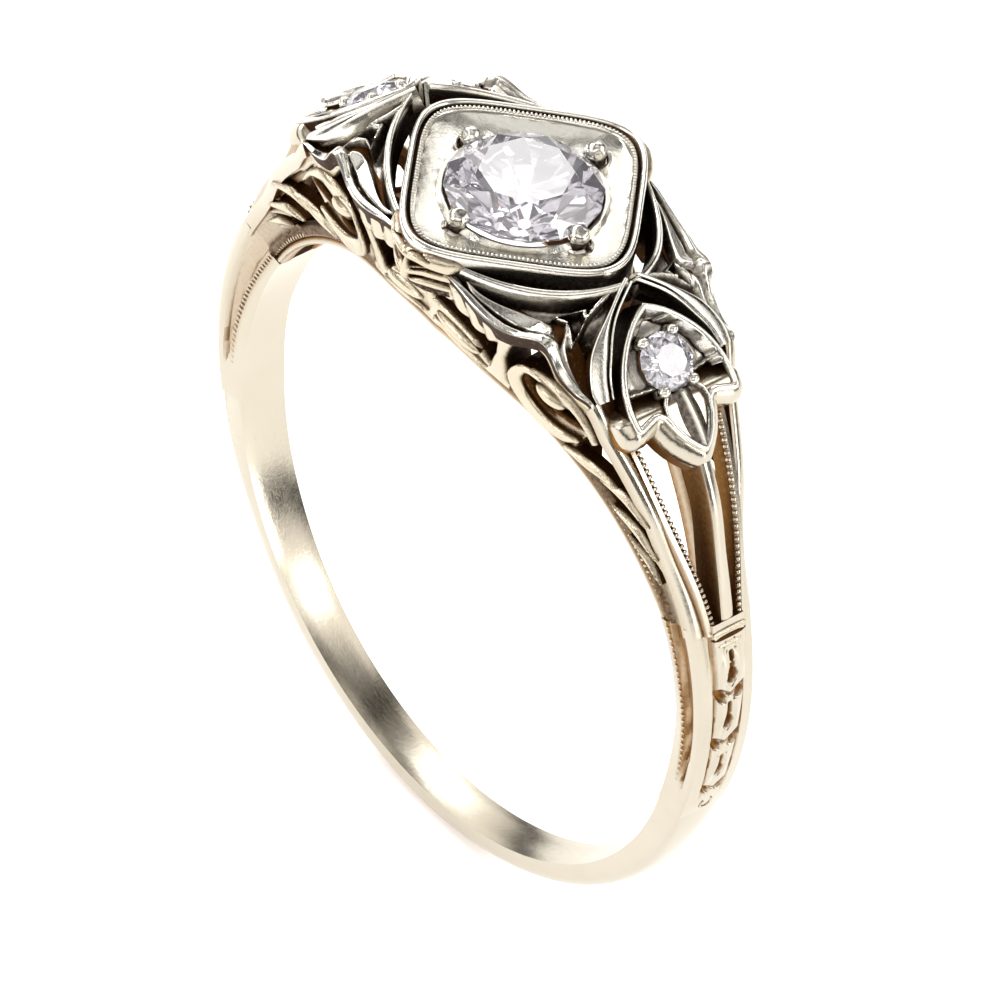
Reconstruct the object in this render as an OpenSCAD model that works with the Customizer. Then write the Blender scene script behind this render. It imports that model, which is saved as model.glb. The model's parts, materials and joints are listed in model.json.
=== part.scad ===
// Filigree engagement ring: a round diamond in a cushion-shaped box setting,
// two small diamonds in leaf-shaped collets, pierced galleries and a split shank.
// Millimetres. The origin is the centre of the finger hole, +Z points up through
// the head, and the finger hole runs along Y. Angles round the ring are measured
// from the top (+Z) towards +X, and heights are above the finger hole's wall.

/* [Finger hole] */
// Radius of the finger hole
bore_r = 8.25; // [8:0.05:8.6]

/* [Shank] */
// Width of the shank at its lowest point
shank_w = 1.06; // [0.9:0.02:1.3]
// Width of the shank where the shoulders begin
shank_top_w = 1.46; // [1.35:0.02:1.6]
// Thickness of the shank at its lowest point
shank_t = 0.78; // [0.65:0.01:0.95]
// Angle at which the plain shank meets the shoulder
shank_a = 100; // [94:1:106]
// Angle at which the shoulder splits into rails
split_a = 62; // [60:1:64]

/* [Head] */
// Height of the setting's rim above the finger hole's wall
head_rise = 3.52; // [3.4:0.02:3.7]
// Half width of the setting across its flat sides
head_half = 2.84; // [2.75:0.01:2.95]
// Width of the setting's rim
rim_w = 0.38; // [0.34:0.01:0.44]
// Depth of the setting's walls
head_depth = 1.45; // [1.2:0.05:1.6]
// Roundness of the setting's outline: 2 is a circle, higher is squarer
head_power = 4.56; // [3.8:0.02:5.5]

/* [Stones] */
// Diameter of the centre diamond
stone_d = 3.94; // [3.8:0.02:4]
// Diameter of each side diamond
side_stone_d = 1.36; // [1.2:0.02:1.5]
// Radius of the beads that hold the centre diamond
bead_r = 0.31; // [0.26:0.01:0.36]

/* [Side collets] */
// Tilt of each side collet away from the head's axis
collet_tilt = 42; // [40:0.5:44]
// Half width of a side collet
collet_half = 1.62; // [1.55:0.01:1.7]
// Thickness of a side collet's wall
collet_wall = 0.24; // [0.2:0.01:0.3]

/* [Wires] */
// Width of the rails on the split shoulders
rail_w = 0.42; // [0.36:0.01:0.46]
// Width of the rails that lie on the finger
finger_rail_w = 0.46; // [0.4:0.01:0.5]
// Height of the rails that lie on the finger
finger_rail_t = 0.46; // [0.4:0.01:0.5]
// Thickness of the pierced galleries
gallery_t = 0.36; // [0.3:0.01:0.4]

/* [Hidden] */
$fn = 64;

gold = "#e3d9bd";
white_gold = "#dcdcd6";
dark_gold = "#b9a983";
diamond = "#e8ebf5";

// Half width of the band of metal that lies on the finger: [angle, half width]
rail_half_tab = [[0, 2.30], [12, 2.14], [26, 1.66], [39, 1.27], [53, 0.93], [64, 0.70], [80, 0.58]];
// The upper outer edge: [angle, half width] and [angle, height]
edge_half_tab = [[0, 3.10], [8, 3.05], [14, 2.90], [19.5, 2.50], [28, 2.20], [36, 1.80],
                 [43, 1.50], [55, 1.05], [63, 0.92], [75, 0.84], [100, 0.73]];
edge_rise_tab = [[0, 2.85], [6, 2.95], [12, 2.84], [16, 3.00], [19.5, 3.44], [23, 3.02], [26, 2.98],
                 [28.4, 3.14], [33, 2.66], [43, 2.10], [52, 1.60], [63, 1.40], [80, 1.14],
                 [100, 0.80]];
// Crown of the shoulder along its middle: [angle, height]
crown_tab = [[38, 3.10], [45, 2.70], [53, 2.10], [62, 1.68], [70, 1.47], [79, 1.20],
             [89, 1.00], [100, 0.82]];
// The milgrained rail inside the outer one: [angle, half width] and [angle, height]
inner_half_tab = [[33, 1.38], [45, 1.06], [57, 0.62], [63, 0.46]];
inner_rise_tab = [[33, 2.55], [45, 2.05], [57, 1.72], [63, 1.58]];

shoulder_start = 30;            // where the split rails leave the head's top web
shoulder_end = 63;              // where they run into the solid shoulder
head_top = bore_r + head_rise;
girdle_z = head_top - 0.15;     // the centre diamond's girdle
crown_h = 0.58;
pavilion_h = 1.62;
girdle_h = 0.06;
seat_depth = 0.34;              // from the rim down to the bright plate
bead_x = 2.17;                  // distance of each bead from the centre
solder = 0.03;                  // how far soldered pieces run into each other

// ---- curves ------------------------------------------------------------

// Point on the ring at an angle from the top, a radius and a place along the finger
function ring_pt(a, rho, y) = [rho * sin(a), y, rho * cos(a)];

// Smooth value from a table of [position, value] rows
function row(x, tab, i = 0) = (i >= len(tab) - 2 || x < tab[i + 1][0]) ? i : row(x, tab, i + 1);
function slope(tab, i) =
    let (a = tab[max(0, i - 1)], b = tab[min(len(tab) - 1, i + 1)]) (b[1] - a[1]) / (b[0] - a[0]);
function smooth(x, tab) =
    let (i = row(x, tab), a = tab[i], b = tab[i + 1], h = b[0] - a[0], k = (x - a[0]) / h)
    (2 * k * k * k - 3 * k * k + 1) * a[1] + (k * k * k - 2 * k * k + k) * h * slope(tab, i)
    + (3 * k * k - 2 * k * k * k) * b[1] + (k * k * k - k * k) * h * slope(tab, i + 1);

// Point on a curve that starts at a, ends at c and is pulled towards b
function bow(a, b, c, k) = (1 - k) * (1 - k) * a + 2 * k * (1 - k) * b + k * k * c;
function unit(v) = v / norm(v);
function steps(a, b, n) = [for (i = [0 : n]) a + (b - a) * i / n];

// Outline of the cushion-shaped setting, with its corners on X and Y
function cushion_r(a) =
    1 / pow(pow(abs(cos(a)), head_power) + pow(abs(sin(a)), head_power), 1 / head_power);
function cushion(half, n = 96) =
    [for (i = [0 : n - 1]) let (a = 360 * i / n) half * cushion_r(a) * [cos(a + 45), sin(a + 45)]];

// ---- solids ------------------------------------------------------------

// Closed solid through a row of outlines that all have the same number of points
module loft(rings) {
    n = len(rings[0]);
    last = len(rings) - 1;
    pts = [for (r = rings) each r];
    walls = [for (i = [0 : last - 1], j = [0 : n - 1]) let (a = i * n + j, b = i * n + (j + 1) % n)
        each [[a, b, a + n], [b, b + n, a + n]]];
    caps = [[for (j = [n - 1 : -1 : 0]) j], [for (j = [0 : n - 1]) last * n + j]];
    polyhedron(points = pts, faces = concat(walls, caps));
}

// Section of a wire in the plane across the ring: centred on y, from the height rise downwards
function wire_ring(a, y, rise, w, t) =
    [for (p = [[-0.5, -1], [-0.5, -0.3], [-0.25, 0], [0.25, 0], [0.5, -0.3], [0.5, -1]])
        ring_pt(a, bore_r + rise + p[1] * t, y + p[0] * w)];

// Wire that follows free points: a six-sided section, w wide and t high, under each point
module wire(path, w, t) {
    last = len(path) - 1;
    loft([for (i = [0 : last])
        let (run = unit(path[min(last, i + 1)] - path[max(0, i - 1)]),
             up = unit([path[i][0], 0, path[i][2]]),
             side = unit(cross(run, up)), top = cross(side, run))
        [for (p = [[-0.5, -1], [-0.5, -0.3], [-0.25, 0], [0.25, 0], [0.5, -0.3], [0.5, -1]])
            path[i] + p[0] * w * side + p[1] * t * top]]);
}

// The finger's space
module finger_hole() {
    rotate([90, 0, 0]) cylinder(h = 12, r = bore_r, center = true, $fn = 180);
}

// Wedge of the ring between two angles, as a prism along the finger
module wedge(a0, a1) {
    far = 20;
    rotate([90, 0, 0]) linear_extrude(12, center = true)
        polygon(concat([[0, 0]], [for (a = steps(a0, a1, 4)) far * [sin(a), cos(a)]]));
}

module on_left() { mirror([1, 0, 0]) children(); }
module on_back() { mirror([0, 1, 0]) children(); }

// ---- shank -------------------------------------------------------------

module shank_lower() {
    dome_r = 1.25;
    y_top = shank_top_w / 2;
    y_low = shank_w / 2;
    color(gold) intersection() {
        difference() {
            rotate([90, 0, 0]) rotate_extrude($fn = 180)
                translate([bore_r + shank_t - dome_r, 0]) circle(dome_r);
            finger_hole();
        }
        rotate([90, 0, 90]) linear_extrude(24, center = true)
            polygon([[-y_top, 0], [-y_low, -10], [y_low, -10], [y_top, 0]]);
        wedge(shank_a, 360 - shank_a);
    }
}

// Solid shoulder between the split rails and the plain shank
module shoulder() {
    color(gold) loft([for (a = steps(split_a, shank_a, 16))
        let (y = smooth(a, edge_half_tab) * shank_top_w / 1.46, e = smooth(a, edge_rise_tab),
             c = max(smooth(a, crown_tab), e) + 0.05,
             f = min(smooth(min(a, 80), rail_half_tab), y))
        [for (p = [[0, -f], [e - 0.14, -y], [e, -y + 0.1], [c, -0.22],
                   [c, 0.22], [e, y - 0.1], [e - 0.14, y], [0, f]])
            ring_pt(a, bore_r + p[0], p[1])]]);
}

// Two bars across the rails' lower end
module crossbars() {
    color(dark_gold) for (a = [63.2, 65.4])
        rotate([0, a, 0]) translate([0, 0, bore_r + smooth(a, crown_tab) - 0.02])
            rotate([90, 0, 0]) cylinder(h = 1.06, r = 0.13, center = true, $fn = 24);
}

// Row of bell flowers down the solid shoulder, each smaller than the last
module bellflowers() {
    color(gold) for (i = [0 : 4]) {
        a = 69.5 + 4.5 * i;
        k = 1 - 0.11 * i;
        rotate([0, a, 0]) translate([0, 0, bore_r + smooth(a, crown_tab) - 0.1])
            linear_extrude(0.22)
            polygon([for (p = [[-0.34, 0], [-0.16, -0.26], [0.26, -0.32], [0.1, -0.1], [0.34, 0],
                               [0.1, 0.1], [0.26, 0.32], [-0.16, 0.26]]) k * p]);
    }
}

// ---- split shoulders ---------------------------------------------------

module outer_rail() {
    color(gold) loft([for (a = steps(shoulder_start, shoulder_end, 12))
        let (y = smooth(a, edge_half_tab), w = rail_w * (1.1 - 0.25 * (a - 30) / 33))
        wire_ring(a, -y + w / 2, smooth(a, edge_rise_tab), w, 0.62)]);
}

module milgrain_rail() {
    color(white_gold) loft([for (a = steps(33.6, shoulder_end, 11))
        wire_ring(a, -smooth(a, inner_half_tab), smooth(a, inner_rise_tab), 0.3, 0.55)]);
}

module centre_bar() {
    color(gold) loft([for (a = steps(39.5, shoulder_end, 10))
        wire_ring(a, 0, smooth(a, crown_tab) - 0.03, 0.36, 0.95)]);
}

// ---- galleries ---------------------------------------------------------

// Rail that lies on the finger, from shoulder to shoulder
module finger_rail() {
    color(gold) difference() {
        loft([for (a = steps(-split_a, split_a, 32))
            let (y = smooth(abs(a), rail_half_tab))
            [for (p = [[-0.2, -y], [finger_rail_t, -y], [finger_rail_t, -y + finger_rail_w],
                       [-0.2, -y + finger_rail_w]]) ring_pt(a, bore_r + p[0], p[1])]]);
        finger_hole();
    }
}

// Side wall between the finger rail and the upper edge, still unpierced
module gallery_wall(a_end) {
    loft([for (a = steps(-a_end, a_end, 60))
        let (t = abs(a), h = smooth(t, edge_rise_tab) - 0.3,
             y0 = smooth(t, rail_half_tab), y1 = smooth(t, edge_half_tab))
        [for (p = [[finger_rail_t - solder, -y0], [h, -y1], [h, -y1 + gallery_t],
                   [finger_rail_t - solder, -y0 + gallery_t]]) ring_pt(a, bore_r + p[0], p[1])]]);
}

// Hole cut through the front wall, drawn as a bent slot between two angles
module piercing(a0, a1, low, high) {
    rotate([90, 0, 0]) linear_extrude(9)
        polygon(concat(
            [for (a = steps(a0, a1, 4)) (bore_r + low) * [sin(a), cos(a)]],
            [for (a = steps(a1, a0, 4)) (bore_r + high) * [sin(a), cos(a)]]));
}

module gallery() {
    color(dark_gold) difference() {
        gallery_wall(split_a - 1);
        for (side = [-1, 1]) {
            piercing(side * 1.6, side * 11.2, 0.85, 2.25);
            piercing(side * 15.5, side * 24.5, 0.85, 2.55);
            piercing(side * 27.5, side * 36.5, 0.8, 1.75);
            piercing(side * 39.5, side * 48, 0.75, 1.3);
        }
    }
}

// Scrolls laid over the piercings: a ring under the head and a C scroll on each side
function on_wall(a, k) =
    let (t = abs(a), h = smooth(t, edge_rise_tab) - 0.3, r0 = finger_rail_t,
         y0 = smooth(t, rail_half_tab), y1 = smooth(t, edge_half_tab))
    ring_pt(a, bore_r + r0 + (h - r0) * k, -(y0 + (y1 - y0) * k) - 0.02);

// Scroll along free points on the gallery wall, w wide, standing t proud of it
module scroll(path, w, t) {
    last = len(path) - 1;
    loft([for (i = [0 : last])
        let (run = unit(path[min(last, i + 1)] - path[max(0, i - 1)]), out = [0, -1, 0],
             side = unit(cross(out, run)))
        [for (p = [[-0.5, 0.4], [-0.5, -0.6], [0, -1], [0.5, -0.6], [0.5, 0.4]])
            path[i] + p[0] * w * side - p[1] * t * out]]);
}

module scrolls() {
    color(gold) for (side = [-1, 1]) {
        scroll([for (k = steps(0, 1, 12)) on_wall(side * (6.4 + 3.9 * cos(360 * k * 0.92 + 20)),
                                                   0.42 + 0.3 * sin(360 * k * 0.92 + 20))], 0.22, 0.16);
        scroll([for (k = steps(0, 1, 12)) on_wall(side * (20 + 4.6 * cos(300 * k + 60)),
                                                   0.42 + 0.33 * sin(300 * k + 60))], 0.24, 0.18);
        scroll([for (k = steps(0, 1, 8)) on_wall(side * (27 + 13 * k), 0.75 - 0.65 * k * k)],
               0.26, 0.18);
        scroll([for (k = steps(0, 1, 8)) on_wall(side * (38 + 14 * k), 0.85 - 0.8 * k)],
               0.24, 0.16);
    }
}

// ---- head --------------------------------------------------------------

module head_box() {
    color(white_gold) difference() {
        translate([0, 0, head_top - head_depth]) linear_extrude(head_depth)
            polygon(cushion(head_half));
        translate([0, 0, head_top - head_depth - 1]) linear_extrude(head_depth + 2)
            polygon(cushion(head_half - rim_w));
    }
}

module centre_stone(grow = 0) {
    r = stone_d / 2 + grow;
    translate([0, 0, girdle_z]) cylinder(h = girdle_h, r = r);
    translate([0, 0, girdle_z + girdle_h]) cylinder(h = crown_h, r1 = r, r2 = r * 0.56);
    translate([0, 0, girdle_z - pavilion_h]) cylinder(h = pavilion_h, r1 = 0.16, r2 = r);
}

// Bright plate inside the box, with the diamond's seat cut through it
module head_plate() {
    top = head_top - seat_depth;
    color(white_gold) difference() {
        translate([0, 0, top - 0.42]) linear_extrude(0.42)
            polygon(cushion(head_half - rim_w + solder));
        centre_stone();
    }
}

module centre_diamond() { color(diamond) centre_stone(); }

module bead_prong(a) {
    base = head_top - seat_depth - solder;
    color(white_gold) difference() {
        rotate([0, 0, a]) translate([bead_x, 0, base]) {
            cylinder(h = head_top - base, r = bead_r * 0.92, $fn = 32);
            translate([0, 0, head_top - base]) sphere(bead_r, $fn = 32);
        }
        centre_stone();
    }
}

apex = ring_pt(18.6, bore_r + 4.2, -0.16);      // where the top wires meet, beside the head
arc_start = [1.05, -2.86, head_top - 0.32];
function arc_pt(k) = bow(arc_start, [3.35, -1.95, head_top - 0.36], apex, k);

rib_start = ring_pt(18.7, bore_r + 4.16, -0.3);
rib_mid = ring_pt(23.7, bore_r + 3.6, -1.9);
rib_end = ring_pt(28.6, bore_r + 3.2, -1.9);
function rib_pt(k) = bow(rib_start, rib_mid, rib_end, k);

module arc_wire() {
    color(white_gold) wire([for (k = steps(0, 1, 12)) arc_pt(k)], 0.26, 0.5);
}

module crescent_rib() {
    color(white_gold) wire([for (k = steps(0, 1, 12)) rib_pt(k)], 0.3, 0.62);
}

// Fluted plate between the arc wire, the crescent rib and the upper edge
module top_web() {
    drop = 0.34;
    turn = 0.6;                 // where the plate's inner edge leaves the arc for the rib
    color(white_gold) loft([for (k = steps(0, 1, 15))
        let (a = 4 + (shoulder_start - 5.5) * k,
             inner = (k < turn ? arc_pt(k / turn) : rib_pt((k - turn) / (1 - turn)))
                 - ring_pt(a, 0.2, 0),
             rim = ring_pt(a, bore_r + smooth(a, edge_rise_tab), -smooth(a, edge_half_tab)),
             lip = rim + 0.2 * (inner - rim),
             flute = (inner + lip) / 2 - ring_pt(a, 0.08 * norm(inner - rim), 0))
        [inner - ring_pt(a, drop, 0), rim - ring_pt(a, drop, 0), rim, lip, flute, inner]]);
}

// Leaf that covers the join of the two webs at the setting's front corner
module corner_leaf() {
    color(gold) translate([0, -3.12, head_top - 0.62]) rotate([68, 0, 0])
        linear_extrude(0.3, center = true)
        polygon([for (a = steps(0, 345, 23)) [0.95 * cos(a), 0.34 * sin(a) * (1 - 0.25 * cos(3 * a))]]);
}

// ---- side collets ------------------------------------------------------

// A collet's own frame: X runs down the shoulder, Z points out of its face
collet_face = bore_r + 3.25;
point_u = -4.37;                // the leaf's upper point
lobe_u = -1.59;                 // the two side lobes' tips
lobe_y = 1.53;
tip_u = -0.62;                  // the middle lobe's tip
stone_u = -2.85;                // the side diamond's centre

module collet_frame() { rotate([0, collet_tilt, 0]) translate([0, 0, collet_face]) children(); }

// Half width of the leaf at a place along it
function leaf_half(u) =
    let (k = (u - point_u) / (lobe_u - point_u)) collet_half * pow(sin(98 * pow(k, 0.86)), 0.9);
function leaf_side(half, inset) =
    [for (k = steps(0, 1, 12)) let (u = point_u + inset * 1.5 + (lobe_u - point_u - inset * 1.5) * k)
        [u, half * max(0, leaf_half(u - inset * 1.2 * (1 - k)) - inset)]];
function leaf(inset) = concat(leaf_side(-1, inset),
    [for (i = [12 : -1 : 1]) leaf_side(1, inset)[i]]);

module side_collet() {
    depth = 0.95;
    color(white_gold) collet_frame() difference() {
        translate([0, 0, -depth]) linear_extrude(depth) polygon(leaf(0));
        translate([0, 0, -depth - 1]) linear_extrude(depth + 2) polygon(leaf(collet_wall));
    }
}

module side_stone() {
    r = side_stone_d / 2;
    translate([stone_u, 0, -0.1]) {
        cylinder(h = 0.05, r = r, $fn = 48);
        translate([0, 0, 0.05]) cylinder(h = 0.2, r1 = r, r2 = r * 0.55, $fn = 48);
        translate([0, 0, -0.55]) cylinder(h = 0.55, r1 = 0.06, r2 = r, $fn = 48);
    }
}

module side_plate() {
    color(white_gold) collet_frame() difference() {
        translate([0, 0, -0.5]) linear_extrude(0.3) polygon(leaf(collet_wall - solder));
        side_stone();
    }
}

module side_diamond() { color(diamond) collet_frame() side_stone(); }

module side_beads() {
    color(white_gold) collet_frame() difference() {
        for (a = [45 : 90 : 315])
            translate([stone_u + 0.78 * cos(a), 0.78 * sin(a), -0.24]) {
                cylinder(h = 0.26, r = 0.13, $fn = 24);
                translate([0, 0, 0.26]) sphere(0.15, $fn = 24);
            }
        side_stone();
    }
}

// Scalloped skirt of three lobes that closes the collet's lower end
module tulip() {
    depth = 0.75;
    notch = [-1.28, 0.72];
    half = [[lobe_u - solder, lobe_y - 0.02], [lobe_u + 0.22, lobe_y - 0.05],
            [lobe_u + 0.3, 1.15], notch, [tip_u - 0.35, 0.42], [tip_u, 0.06]];
    color(gold) collet_frame() translate([0, 0, -depth]) linear_extrude(depth - 0.12)
        polygon(concat([for (p = half) p], [for (i = [5 : -1 : 0]) [half[i][0], -half[i][1]]]));
}

module navette_leaf() {
    len = 1.5;
    color(white_gold) collet_frame() translate([tip_u - len / 2 - 0.03, 0, -0.12 - solder])
        linear_extrude(0.18)
        polygon([for (a = steps(0, 345, 23)) [len / 2 * cos(a), 0.42 * sin(a) * abs(sin(a))]]);
}

// ---- assembly ----------------------------------------------------------

shank_lower();
shoulder();  // shoulder_right
on_left() shoulder();  // shoulder_left
crossbars();  // crossbars_right
on_left() crossbars();  // crossbars_left
bellflowers();  // bellflowers_right
on_left() bellflowers();  // bellflowers_left
outer_rail();  // outer_rail_front_right
on_left() outer_rail();  // outer_rail_front_left
on_back() outer_rail();  // outer_rail_back_right
on_back() on_left() outer_rail();  // outer_rail_back_left
milgrain_rail();  // milgrain_rail_front_right
on_left() milgrain_rail();  // milgrain_rail_front_left
on_back() milgrain_rail();  // milgrain_rail_back_right
on_back() on_left() milgrain_rail();  // milgrain_rail_back_left
centre_bar();  // centre_bar_right
on_left() centre_bar();  // centre_bar_left
finger_rail();  // finger_rail_front
on_back() finger_rail();  // finger_rail_back
gallery();  // gallery_front
on_back() gallery();  // gallery_back
scrolls();  // scrolls_front
on_back() scrolls();  // scrolls_back
head_box();
head_plate();
centre_diamond();
bead_prong(-90);  // bead_prong_front
bead_prong(0);  // bead_prong_right
bead_prong(90);  // bead_prong_back
bead_prong(180);  // bead_prong_left
arc_wire();  // arc_wire_front_right
on_left() arc_wire();  // arc_wire_front_left
on_back() arc_wire();  // arc_wire_back_right
on_back() on_left() arc_wire();  // arc_wire_back_left
top_web();  // top_web_front_right
on_left() top_web();  // top_web_front_left
on_back() top_web();  // top_web_back_right
on_back() on_left() top_web();  // top_web_back_left
crescent_rib();  // crescent_rib_front_right
on_left() crescent_rib();  // crescent_rib_front_left
on_back() crescent_rib();  // crescent_rib_back_right
on_back() on_left() crescent_rib();  // crescent_rib_back_left
corner_leaf();  // corner_leaf_front
on_back() corner_leaf();  // corner_leaf_back
side_collet();  // side_collet_right
on_left() side_collet();  // side_collet_left
side_plate();  // side_plate_right
on_left() side_plate();  // side_plate_left
side_diamond();  // side_diamond_right
on_left() side_diamond();  // side_diamond_left
side_beads();  // side_beads_right
on_left() side_beads();  // side_beads_left
tulip();  // tulip_right
on_left() tulip();  // tulip_left
navette_leaf();  // navette_leaf_right
on_left() navette_leaf();  // navette_leaf_left
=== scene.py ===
import json
import math

import bpy
import numpy as np
from mathutils import Matrix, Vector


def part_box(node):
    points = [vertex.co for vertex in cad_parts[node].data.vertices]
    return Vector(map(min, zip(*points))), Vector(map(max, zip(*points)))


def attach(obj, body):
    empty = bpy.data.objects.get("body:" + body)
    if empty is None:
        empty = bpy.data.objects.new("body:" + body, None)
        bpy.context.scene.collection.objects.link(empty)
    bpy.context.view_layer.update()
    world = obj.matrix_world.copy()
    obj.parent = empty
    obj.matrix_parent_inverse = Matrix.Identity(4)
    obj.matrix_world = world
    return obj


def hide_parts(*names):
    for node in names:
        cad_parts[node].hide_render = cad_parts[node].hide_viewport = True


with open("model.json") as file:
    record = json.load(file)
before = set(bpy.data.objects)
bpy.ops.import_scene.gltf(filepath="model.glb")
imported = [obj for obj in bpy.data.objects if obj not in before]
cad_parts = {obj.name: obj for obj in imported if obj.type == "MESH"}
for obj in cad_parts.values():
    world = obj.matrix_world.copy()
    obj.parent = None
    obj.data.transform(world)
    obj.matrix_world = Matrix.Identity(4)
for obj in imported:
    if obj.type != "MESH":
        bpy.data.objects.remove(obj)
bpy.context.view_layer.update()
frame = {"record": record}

# Filigree engagement ring. Everything is worked out in millimetres in the CAD frame and written to
# Blender in metres: Z points up through the head and the finger hole runs along Y. Angles round the
# ring are in degrees from the top towards +X. A piece that comes in twos or fours is made once, for
# the front or the right, and mirrored.

MM = 0.001
BORE = frame["record"]["mounts"][0]["dims"]["r_mm"]
HEAD_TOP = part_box("head_box")[1].z / MM
HEAD_HALF = 2.84
HEAD_POWER = 4.56
RIM_W = 0.37
RIM_POINTS = 192
STONE_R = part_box("centre_diamond")[1].x / MM
FLOOR_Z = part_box("shank_lower")[0].z

RAIL_HALF = [(0, 2.30), (12, 2.14), (26, 1.66), (39, 1.27), (53, 0.93), (64, 0.70), (80, 0.58)]
EDGE_HALF = [(0, 3.10), (8, 3.05), (14, 2.90), (19.5, 2.50), (28, 2.20), (36, 1.80), (43, 1.50),
             (55, 1.05), (63, 0.92), (75, 0.84), (100, 0.73)]
EDGE_RISE = [(0, 2.85), (6, 2.95), (12, 2.84), (16, 3.00), (19.5, 3.44), (23, 3.02), (26, 2.98),
             (28.4, 3.14), (33, 2.66), (43, 2.10), (52, 1.60), (63, 1.40), (80, 1.14), (100, 0.80)]
CROWN = [(38, 3.10), (45, 2.70), (53, 2.10), (62, 1.68), (70, 1.47), (79, 1.20), (89, 1.00),
         (100, 0.82)]
INNER_HALF = [(33, 1.38), (45, 1.06), (57, 0.62), (63, 0.46)]
INNER_RISE = [(33, 2.55), (45, 2.05), (57, 1.72), (63, 1.58)]

QUARTERS = {"front_right": (1, 1), "front_left": (-1, 1), "back_right": (1, -1), "back_left": (-1, -1)}
SIDES = {"right": (1, 1), "left": (-1, 1)}
ENDS = {"front": (1, 1), "back": (1, -1)}


# ---- curves and points -------------------------------------------------

def smooth(x, table):
    """Smooth curve through the table's rows of (position, value)."""
    xs = np.array([r[0] for r in table], float)
    ys = np.array([r[1] for r in table], float)
    n = len(xs)
    low = np.maximum(np.arange(n) - 1, 0)
    high = np.minimum(np.arange(n) + 1, n - 1)
    slopes = (ys[high] - ys[low]) / (xs[high] - xs[low])
    x = np.asarray(x, float)
    i = np.clip(np.searchsorted(xs, x, side="right") - 1, 0, n - 2)
    h = xs[i + 1] - xs[i]
    k = np.clip((x - xs[i]) / h, 0, 1)
    return ((2 * k**3 - 3 * k**2 + 1) * ys[i] + (k**3 - 2 * k**2 + k) * h * slopes[i]
            + (3 * k**2 - 2 * k**3) * ys[i + 1] + (k**3 - k**2) * h * slopes[i + 1])


def ring(a, rho, y):
    """Points at an angle round the ring, a radius and a place along the finger."""
    a, rho, y = np.broadcast_arrays(np.radians(a), rho, y)
    return np.stack([rho * np.sin(a), y * np.ones_like(a), rho * np.cos(a)], -1)


def unit(v):
    return v / np.maximum(np.linalg.norm(v, axis=-1, keepdims=True), 1e-9)


def bow(a, b, c, k):
    """Points on a curve that starts at a, ends at c and is pulled towards b."""
    k = np.asarray(k, float)[:, None]
    return (1 - k) ** 2 * np.array(a) + 2 * k * (1 - k) * np.array(b) + k**2 * np.array(c)


def through(points, n):
    """n points on a smooth curve through the given points, of any dimension."""
    pts = np.array(points, float)
    gaps = np.linalg.norm(np.diff(pts, axis=0), axis=1)
    at = np.concatenate([[0], np.cumsum(gaps)])
    k = np.linspace(0, at[-1], n)
    return np.stack([smooth(k, list(zip(at, pts[:, j]))) for j in range(pts.shape[1])], -1)


def soft_step(x, low, high):
    k = np.clip((x - low) / (high - low), 0, 1)
    return k * k * (3 - 2 * k)


def cushion(half):
    """Outline of the cushion-shaped setting, with its corners on X and Y."""
    a = np.linspace(0, 2 * math.pi, RIM_POINTS, endpoint=False)
    r = half / (np.abs(np.cos(a)) ** HEAD_POWER + np.abs(np.sin(a)) ** HEAD_POWER) ** (1 / HEAD_POWER)
    turn = a + math.pi / 4
    return np.stack([r * np.cos(turn), r * np.sin(turn)], -1)


def level(outline, z):
    """Outline laid flat at height z."""
    return np.column_stack([outline, np.broadcast_to(z, len(outline))])


# ---- solids ------------------------------------------------------------

class Solid:
    """Closed shells in millimetres, with a share of patina and painted shade (0 to 1) at every point, or less
    than 0 where the painted shade from ambient occlusion is cleared to keep a surface bright."""

    def __init__(self):
        self.points = []
        self.faces = []
        self.patina_and_shade = []
        self.count = 0

    def add(self, points, faces, patina_and_shade=0.0):
        """Adds one closed shell and turns its faces outwards."""
        points = np.asarray(points, float).reshape(-1, 3)
        volume = 0.0
        for f in faces:
            p = points[f[0]]
            for i in range(1, len(f) - 1):
                volume += float(np.dot(p, np.cross(points[f[i]], points[f[i + 1]])))
        if volume < 0:
            faces = [f[::-1] for f in faces]
        self.faces += [[i + self.count for i in f] for f in faces]
        self.points.append(points)
        self.patina_and_shade.append(np.broadcast_to(np.asarray(patina_and_shade, float).reshape(-1), (len(points),)))
        self.count += len(points)
        return self


def loft(rings, closed=False):
    """Points and faces of a closed shell through a row of outlines with equal numbers of points."""
    rings = np.asarray(rings, float)
    m, n = rings.shape[:2]
    points = rings.reshape(-1, 3)
    faces = []
    for i in range(m if closed else m - 1):
        a, b = i * n, ((i + 1) % m) * n
        faces += [[a + j, a + (j + 1) % n, b + (j + 1) % n, b + j] for j in range(n)]
    if closed:
        return points, faces
    ends = np.stack([rings[0].mean(0), rings[-1].mean(0)])
    points = np.concatenate([points, ends])
    first, last = m * n, m * n + 1
    faces += [[first, (j + 1) % n, j] for j in range(n)]
    faces += [[last, (m - 1) * n + j, (m - 1) * n + (j + 1) % n] for j in range(n)]
    return points, faces


def dome_section(n=9, dome=0.3):
    """Section of a wire as (side, up) pairs: straight sides and a rounded top."""
    arc = [(-0.5 * math.cos(math.pi * i / (n - 1)), -dome + dome * math.sin(math.pi * i / (n - 1)))
           for i in range(n)]
    return np.array([(-0.5, -1.0)] + arc + [(0.5, -1.0)])


def sweep(path, up, section, width=1.0, height=1.0):
    """Closed shell that carries a section along a path, with its top towards up."""
    path = np.asarray(path, float)
    run = unit(np.gradient(path, axis=0))
    side = unit(np.cross(run, np.broadcast_to(up, path.shape)))
    top = unit(np.cross(side, run))
    w = np.broadcast_to(width, (len(path),))[:, None, None]
    t = np.broadcast_to(height, (len(path),))[:, None, None]
    rings = (path[:, None, :] + section[None, :, :1] * w * side[:, None, :]
             + section[None, :, 1:] * t * top[:, None, :])
    return loft(rings)


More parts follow.
